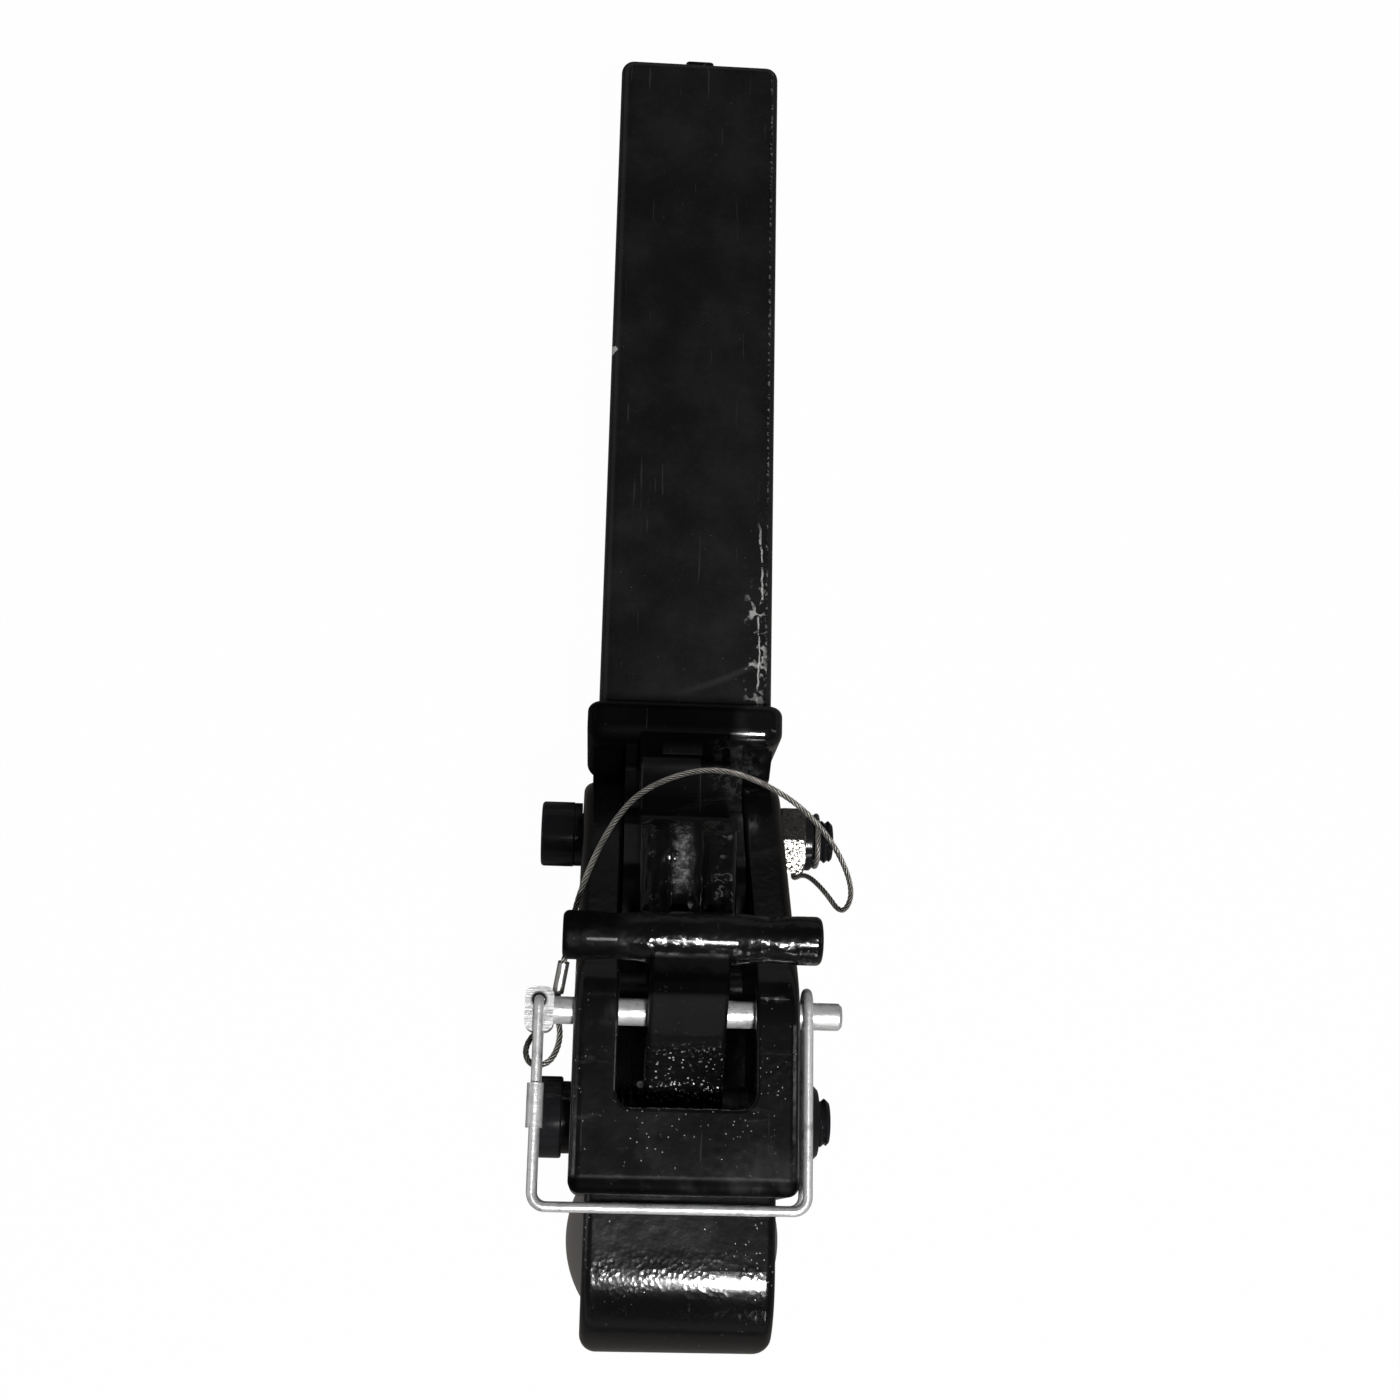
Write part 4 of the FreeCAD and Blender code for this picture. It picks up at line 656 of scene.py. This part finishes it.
class HOOK_OT_fasteners(bpy.types.Operator):
    """Give the bolts, nuts, washers, bushes and the spring their finishes"""
    bl_idname = "hook.fasteners"
    bl_label = "Fasteners"

    def execute(self, context):
        metal = context.scene.hook.metal
        oxide = black_oxide("black_oxide", metal.oxide)
        for node in ("jaw_pivot_washer", "jaw_nut_collar", "latch_pivot_washer", "latch_pivot_cap"):
            wear(oxide, node)
        thread = context.scene.hook.thread
        jaw_bolt = self.socket_screw("jaw_bolt_threaded", thread, JAW_PIVOT, head_radius=9.5, head_length=9.8,
                                     tip=45.05, node="jaw_pivot_bolt", body="hitch")
        latch_bolt = self.socket_screw("latch_bolt_threaded", thread, LATCH_PIVOT, head_radius=10.5,
                                       head_length=6.4, tip=39.25, node="latch_pivot_bolt", body="jaw")
        for bolt in (jaw_bolt, latch_bolt):
            wear(oxide, bolt)
        wear(worn_nut("worn_nut"), "jaw_pivot_nut")
        zinc = zinc_plate("zinc_hardware", metal.zinc)
        for node in ("ball_washer", "ball_nut"):
            wear(zinc, node)
        bronze = bush_bronze("bush_bronze", metal.bronze)
        for node in ("web_bush_left", "web_bush_right"):
            wear(bronze, node)
        steel = spring_steel("spring_steel")
        for node in ("latch_spring", "latch_spacer"):
            wear(steel, node)
        return {"FINISHED"}

    def socket_screw(self, name, thread, pivot, head_radius, head_length, tip, node, body):
        """A half-inch socket screw with its head on the left: rings of radius r(a) at each place along X.

        In the socket r is a hexagon's radius, half the flats / cos(a mod 60 - 30), and on the thread it is
        the bolt's radius less the thread's depth times a triangle wave of x / pitch - a / turn.
        """
        angle = np.linspace(0, 2 * np.pi, 96, endpoint=False)
        socket = SOCKET_HALF_FLATS / np.cos(np.mod(angle, np.pi / 3) - np.pi / 6)
        plain = np.ones_like(angle)
        end = BOLT_UNDER_HEAD - head_length
        rows = [(end + SOCKET_DEPTH, socket * 0.05), (end + SOCKET_DEPTH, socket),
                (end + SOCKET_CHAMFER, socket), (end, socket + 0.9 * SOCKET_CHAMFER)]
        for step in np.linspace(0, np.pi / 2, 6):
            rows.append((end + 1 - np.cos(step), plain * (head_radius - 1 + np.sin(step))))
        rows += [(BOLT_UNDER_HEAD - 0.4, plain * head_radius), (BOLT_UNDER_HEAD, plain * (head_radius - 0.4)),
                 (BOLT_UNDER_HEAD, plain * BOLT_RADIUS), (BOLT_THREAD_START, plain * BOLT_RADIUS)]
        rows += thread_rows(BOLT_THREAD_START, tip, BOLT_RADIUS, thread.depth / MM, thread.pitch / MM, angle,
                            BOLT_TIP_BEVEL)
        rows.append((tip, plain * 0.05))
        forward, up = pivot
        x, y, z = turned_rings(rows, angle)
        closed = closed_ends(np.stack([x, COLLAR_Y / MM - forward + y, up + z], axis=-1) * MM)
        faces = grid_faces(len(closed), len(angle))
        screw = make_piece(name, closed.reshape(-1, 3), faces)
        screw.data.set_sharp_from_angle(angle=SHARP_ANGLE)
        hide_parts(node)
        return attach(screw, body)


class HOOK_OT_ball(bpy.types.Operator):
    """Chrome the tow ball"""
    bl_idname = "hook.ball"
    bl_label = "Tow ball"

    def execute(self, context):
        """Rings round Z: a flat, the sphere sqrt(R^2 - h^2), neck, fillet, flange, and the threaded stud."""
        settings = context.scene.hook
        angle = np.linspace(0, 2 * np.pi, 128, endpoint=False)
        latitude = np.linspace(math.acos(BALL_TOP_FLAT / BALL_RADIUS),
                               -math.acos(NECK_RADIUS / BALL_RADIUS), 60)
        rows = [(BALL_HEIGHT + BALL_RADIUS * math.sin(a), BALL_RADIUS * math.cos(a)) for a in latitude]
        rows.append((FLANGE_TOP + 3.0, NECK_RADIUS))
        for step in np.linspace(0, math.pi / 2, 6):
            rows.append((FLANGE_TOP + NECK_FILLET * (1 - math.sin(step)),
                         NECK_RADIUS + NECK_FILLET * (1 - math.cos(step))))
        rows += [(FLANGE_TOP, FLANGE_RADIUS - 1.0), (FLANGE_TOP - 0.4, FLANGE_RADIUS - 0.3),
                 (FLANGE_TOP - 1.0, FLANGE_RADIUS), (FLANGE_UNDERSIDE, FLANGE_RADIUS),
                 (FLANGE_UNDERSIDE, STUD_RADIUS), (-STUD_THREAD_START, STUD_RADIUS)]
        rows = [(z, np.full_like(angle, r)) for z, r in rows]
        stud = thread_rows(STUD_THREAD_START, STUD_TIP, STUD_RADIUS, STUD_THREAD_DEPTH,
                           settings.thread.ball_pitch / MM, angle, STUD_TIP_BEVEL)
        rows += [(-along, r) for along, r in stud]
        z, x, y = turned_rings(rows, angle)
        closed = closed_ends(np.stack([x, COLLAR_Y / MM - BALL_FORWARD + y, z], axis=-1) * MM)
        faces = grid_faces(len(closed), len(angle))[:, ::-1]
        ball = make_piece("tow_ball_threaded", closed.reshape(-1, 3), faces)
        ball.data.set_sharp_from_angle(angle=SHARP_ANGLE)
        wear(chrome_plate("chrome_plate", settings.metal.chrome), ball)
        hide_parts("tow_ball")
        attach(ball, "hitch")
        return {"FINISHED"}


class HOOK_OT_pin(bpy.types.Operator):
    """Zinc finish for the safety pin and its bail"""
    bl_idname = "hook.pin"
    bl_label = "Pin and bail"

    def execute(self, context):
        metal = context.scene.hook.metal
        wear(zinc_plate("zinc_pin", metal.zinc, PIN_HOLE), "safety_pin")
        wear(zinc_plate("zinc_wire", metal.zinc), "bail_wire")
        wear(zinc_plate("zinc_sleeve", metal.zinc), "bail_sleeve")
        return {"FINISHED"}


class HOOK_OT_lanyard(bpy.types.Operator):
    """Twist the lanyard's cable along its route, and give its ferrules their aluminium finish"""
    bl_idname = "hook.lanyard"
    bl_label = "Lanyard"

    def execute(self, context):
        settings = context.scene.hook
        route = [Vector((right, COLLAR_Y / MM - forward, up)) * MM for right, forward, up in CABLE_ROUTE]
        middle = self.smooth_line(route)
        cable = self.twist(middle, settings.thread)
        wear(cable_metal("cable_metal", settings.metal.cable), cable)
        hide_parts("lanyard")
        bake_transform(cable)
        ferrule = ferrule_aluminium("ferrule_aluminium")
        for node in ("lanyard_ferrule_pin", "lanyard_ferrule_bolt"):
            wear(ferrule, node)
        return {"FINISHED"}

    def smooth_line(self, route):
        """Points of the quadratic NURBS spline whose control points are the route."""
        curve = bpy.data.curves.new("cable_route", "CURVE")
        curve.dimensions = "3D"
        spline = curve.splines.new("NURBS")
        spline.points.add(len(route) - 1)
        spline.points.foreach_set("co", np.array([(*point, 1.0) for point in route], np.float32).ravel())
        spline.order_u = 3
        spline.use_endpoint_u = True
        spline.resolution_u = 40
        holder = bpy.data.objects.new("cable_route", curve)
        mesh = bpy.data.meshes.new_from_object(holder)
        points = np.zeros(len(mesh.vertices) * 3, np.float32)
        mesh.vertices.foreach_get("co", points)
        bpy.data.objects.remove(holder)
        bpy.data.curves.remove(curve)
        bpy.data.meshes.remove(mesh)
        return points.reshape(-1, 3).astype(float)

    def twist(self, middle, thread):
        """Each strand is a tube whose centre turns round the route: middle + r (n cos a + b sin a),
        where a grows by a full turn each lay, and n and b are carried along the route without turning."""
        steps = np.linalg.norm(np.diff(middle, axis=0), axis=1)
        run = np.concatenate([[0.0], np.cumsum(steps)])
        rings_per_lay = 13
        samples = int(run[-1] / thread.lay_length * rings_per_lay)
        at = np.linspace(0, run[-1], samples)
        line = np.stack([np.interp(at, run, middle[:, axis]) for axis in range(3)], axis=1)
        tangent = np.gradient(line, axis=0)
        tangent /= np.linalg.norm(tangent, axis=1, keepdims=True)
        normal = np.zeros_like(tangent)
        normal[0] = np.cross(tangent[0], (0.0, 0.0, 1.0))
        normal[0] /= np.linalg.norm(normal[0])
        for index in range(1, samples):
            carried = normal[index - 1] - tangent[index] * (normal[index - 1] @ tangent[index])
            normal[index] = carried / np.linalg.norm(carried)
        binormal = np.cross(tangent, normal)
        wire = thread.cable_radius / 3
        ring = thread.cable_radius - wire
        sides = 8
        turn = np.linspace(0, 2 * np.pi, sides, endpoint=False)
        points, faces, along_uv, across_uv = [], [], [], []
        for strand in range(thread.strands + 1):
            core = strand == thread.strands
            angle = 2 * np.pi * (at / thread.lay_length + strand / thread.strands)
            out = normal * np.cos(angle)[:, None] + binormal * np.sin(angle)[:, None]
            side = np.cross(tangent, out)
            centre = line if core else line + out * ring
            radius = wire * (1.0 if core else 1.04)
            rings = (centre[:, None] + radius * (out[:, None] * np.cos(turn)[None, :, None]
                                                 + side[:, None] * np.sin(turn)[None, :, None]))
            closed = closed_ends(rings)
            faces.append(grid_faces(len(closed), sides) + sum(len(part) for part in points))
            points.append(closed.reshape(-1, 3))
            along_uv.append(np.repeat(np.concatenate([at[:1], at, at[-1:]]), sides))
            across_uv.append(np.tile(turn / (2 * np.pi), len(closed)))
        faces = np.concatenate(faces)
        cable = make_piece("lanyard_cable", np.concatenate(points), faces)
        uv = np.stack([np.concatenate(along_uv), np.concatenate(across_uv)], axis=1)
        layer = cable.data.uv_layers.new(name="strand")
        corners = np.zeros(len(cable.data.loops), np.int32)
        cable.data.loops.foreach_get("vertex_index", corners)
        layer.data.foreach_set("uv", uv[corners].astype(np.float32).ravel())
        return cable


class HOOK_OT_stage(bpy.types.Operator):
    """White floor, soft lamps and the camera above the hook"""
    bl_idname = "hook.stage"
    bl_label = "Stage"

    def execute(self, context):
        scene = context.scene
        stage = scene.hook.stage
        scene.view_settings.view_transform = "Standard"
        self.camera(scene, stage)
        self.floor(scene)
        self.sky(scene)
        for name, place, aim, extent, power in (
                ("window_front", (0.105, -0.665, 0.985), (0, -0.28, 0.05), (0.09, 0.22), stage.key * 1.15),
                ("window_low", (0.17, -1.10, 0.40), (0.03, -0.19, 0.01), (0.06, 0.15), stage.key / 26),
                ("strip_right", (0.90, -0.20, 0.50), (0, -0.2, 0.0), (0.05, 0.6), stage.rim),
                ("strip_left", (-0.90, -0.30, 0.40), (0, -0.2, 0.0), (0.05, 0.6), stage.rim)):
            self.lamp(scene, name, place, aim, extent, power)
        return {"FINISHED"}

    def camera(self, scene, stage):
        """The camera, tilted forward from straight down, with a small swing and roll."""
        data = bpy.data.cameras.new("camera")
        data.lens = stage.focal
        data.sensor_width = 36.0
        data.clip_start = 0.01
        camera = bpy.data.objects.new("camera", data)
        roll, swing, tilt = (math.radians(angle) for angle in CAMERA_TURNS)
        world_to_camera = (Matrix.Rotation(-roll, 3, "Z") @ Matrix.Rotation(-swing, 3, "Y")
                           @ Matrix.Rotation(-tilt, 3, "X"))
        camera.matrix_world = Matrix.Translation(CAMERA_PLACE) @ world_to_camera.transposed().to_4x4()
        scene.collection.objects.link(camera)
        scene.camera = camera

    def floor(self, scene):
        """A flat square below the hook that shows the camera white and keeps a faint shadow."""
        height = cad_box[0][2] - 0.0006
        corners = [(x, y, height) for y in (-3.0, 3.0) for x in (-3.0, 3.0)]
        mesh = bpy.data.meshes.new("floor")
        mesh.from_pydata(corners, [], [(0, 1, 3, 2)])
        floor = bpy.data.objects.new("floor", mesh)
        scene.collection.objects.link(floor)
        finish = Finish("floor_white")
        seen = finish.node("ShaderNodeLightPath", {}, output="Is Camera Ray")
        glossy = finish.node("ShaderNodeLightPath", {}, output="Is Glossy Ray")
        pale = finish.colours(glossy, (0.9, 0.9, 0.9, 1.0), (0.16, 0.15, 0.14, 1.0))
        finish.set(Base_Color=pale, Roughness=0.9, Specular_IOR_Level=0.1)
        glow = finish.node("ShaderNodeEmission", {}, (1.0, 1.0, 1.0, 1.0), 1.0)
        shader = Value(finish, finish.shader.outputs[0])
        output = next(node for node in finish.tree.nodes if node.type == "OUTPUT_MATERIAL")
        finish.feed(output.inputs["Surface"],
                    finish.node("ShaderNodeMixShader", {}, seen * 0.985, shader, glow))
        floor.data.materials.append(finish.material)

    def sky(self, scene):
        """A soft pale ceiling near the zenith, a dark sky and grey walls; the camera sees plain white."""
        world = bpy.data.worlds.new("studio")
        world.use_nodes = True
        scene.world = world
        nodes = Nodes(world.node_tree)
        where = nodes.node("ShaderNodeTexCoord", {}, output="Generated")
        toward = nodes.node("ShaderNodeVectorMath", {"operation": "DOT_PRODUCT"}, where, (0.22, -0.12, 0.968),
                            output="Value")
        greys = ((0.0, 0.15), (0.25, 0.14), (0.42, 0.03), (0.6, 0.015), (0.9, 0.03), (0.97, 0.045),
                 (0.989, 0.10))
        stops = [(position, (level, level, level, 1.0)) for position, level in greys]
        ramp = nodes.node("ShaderNodeValToRGB", {"stops": [*stops, (1.0, (0.20, 0.205, 0.22, 1.0))]}, toward)
        seen = nodes.node("ShaderNodeLightPath", {}, output="Is Camera Ray")
        background = next(node for node in nodes.tree.nodes if node.type == "BACKGROUND")
        nodes.feed(background.inputs["Color"], nodes.colours(seen, ramp, (1.0, 1.0, 1.0, 1.0)))

    def lamp(self, scene, name, place, aim, extent, power):
        """A rectangular lamp at a place, turned towards its aim."""
        data = bpy.data.lights.new(name, "AREA")
        data.shape = "RECTANGLE"
        data.size, data.size_y = extent
        data.energy = power
        lamp = bpy.data.objects.new(name, data)
        direction = Vector(aim) - Vector(place)
        turned = direction.to_track_quat("-Z", "Y").to_matrix().to_4x4()
        lamp.matrix_world = Matrix.Translation(place) @ turned
        scene.collection.objects.link(lamp)


class HOOK_PT_panel(bpy.types.Panel):
    """Lists the steps that dress the hook"""
    bl_idname = "HOOK_PT_panel"
    bl_label = "Pintle hook"
    bl_space_type = "VIEW_3D"
    bl_region_type = "UI"
    bl_category = "Hook"

    def draw(self, context):
        for step in STEPS:
            self.layout.operator(step.bl_idname)
        for group in ("paint", "metal", "thread", "stage"):
            box = self.layout.box()
            settings = getattr(context.scene.hook, group)
            for key in settings.__annotations__:
                box.prop(settings, key)


STEPS = (HOOK_OT_forgings, HOOK_OT_fasteners, HOOK_OT_ball, HOOK_OT_pin, HOOK_OT_lanyard, HOOK_OT_stage)
CLASSES = (PaintSettings, MetalSettings, ThreadSettings, StageSettings, OBJECT_PG_hook, *STEPS, HOOK_PT_panel)


def register():
    for cls in CLASSES:
        bpy.utils.register_class(cls)
    bpy.types.Scene.hook = PointerProperty(type=OBJECT_PG_hook)


def unregister():
    del bpy.types.Scene.hook
    for cls in reversed(CLASSES):
        bpy.utils.unregister_class(cls)


def main():
    register()
    bpy.ops.hook.forgings()
    bpy.ops.hook.fasteners()
    bpy.ops.hook.ball()
    bpy.ops.hook.pin()
    bpy.ops.hook.lanyard()
    bpy.ops.hook.stage()


if __name__ == "__main__":
    main()
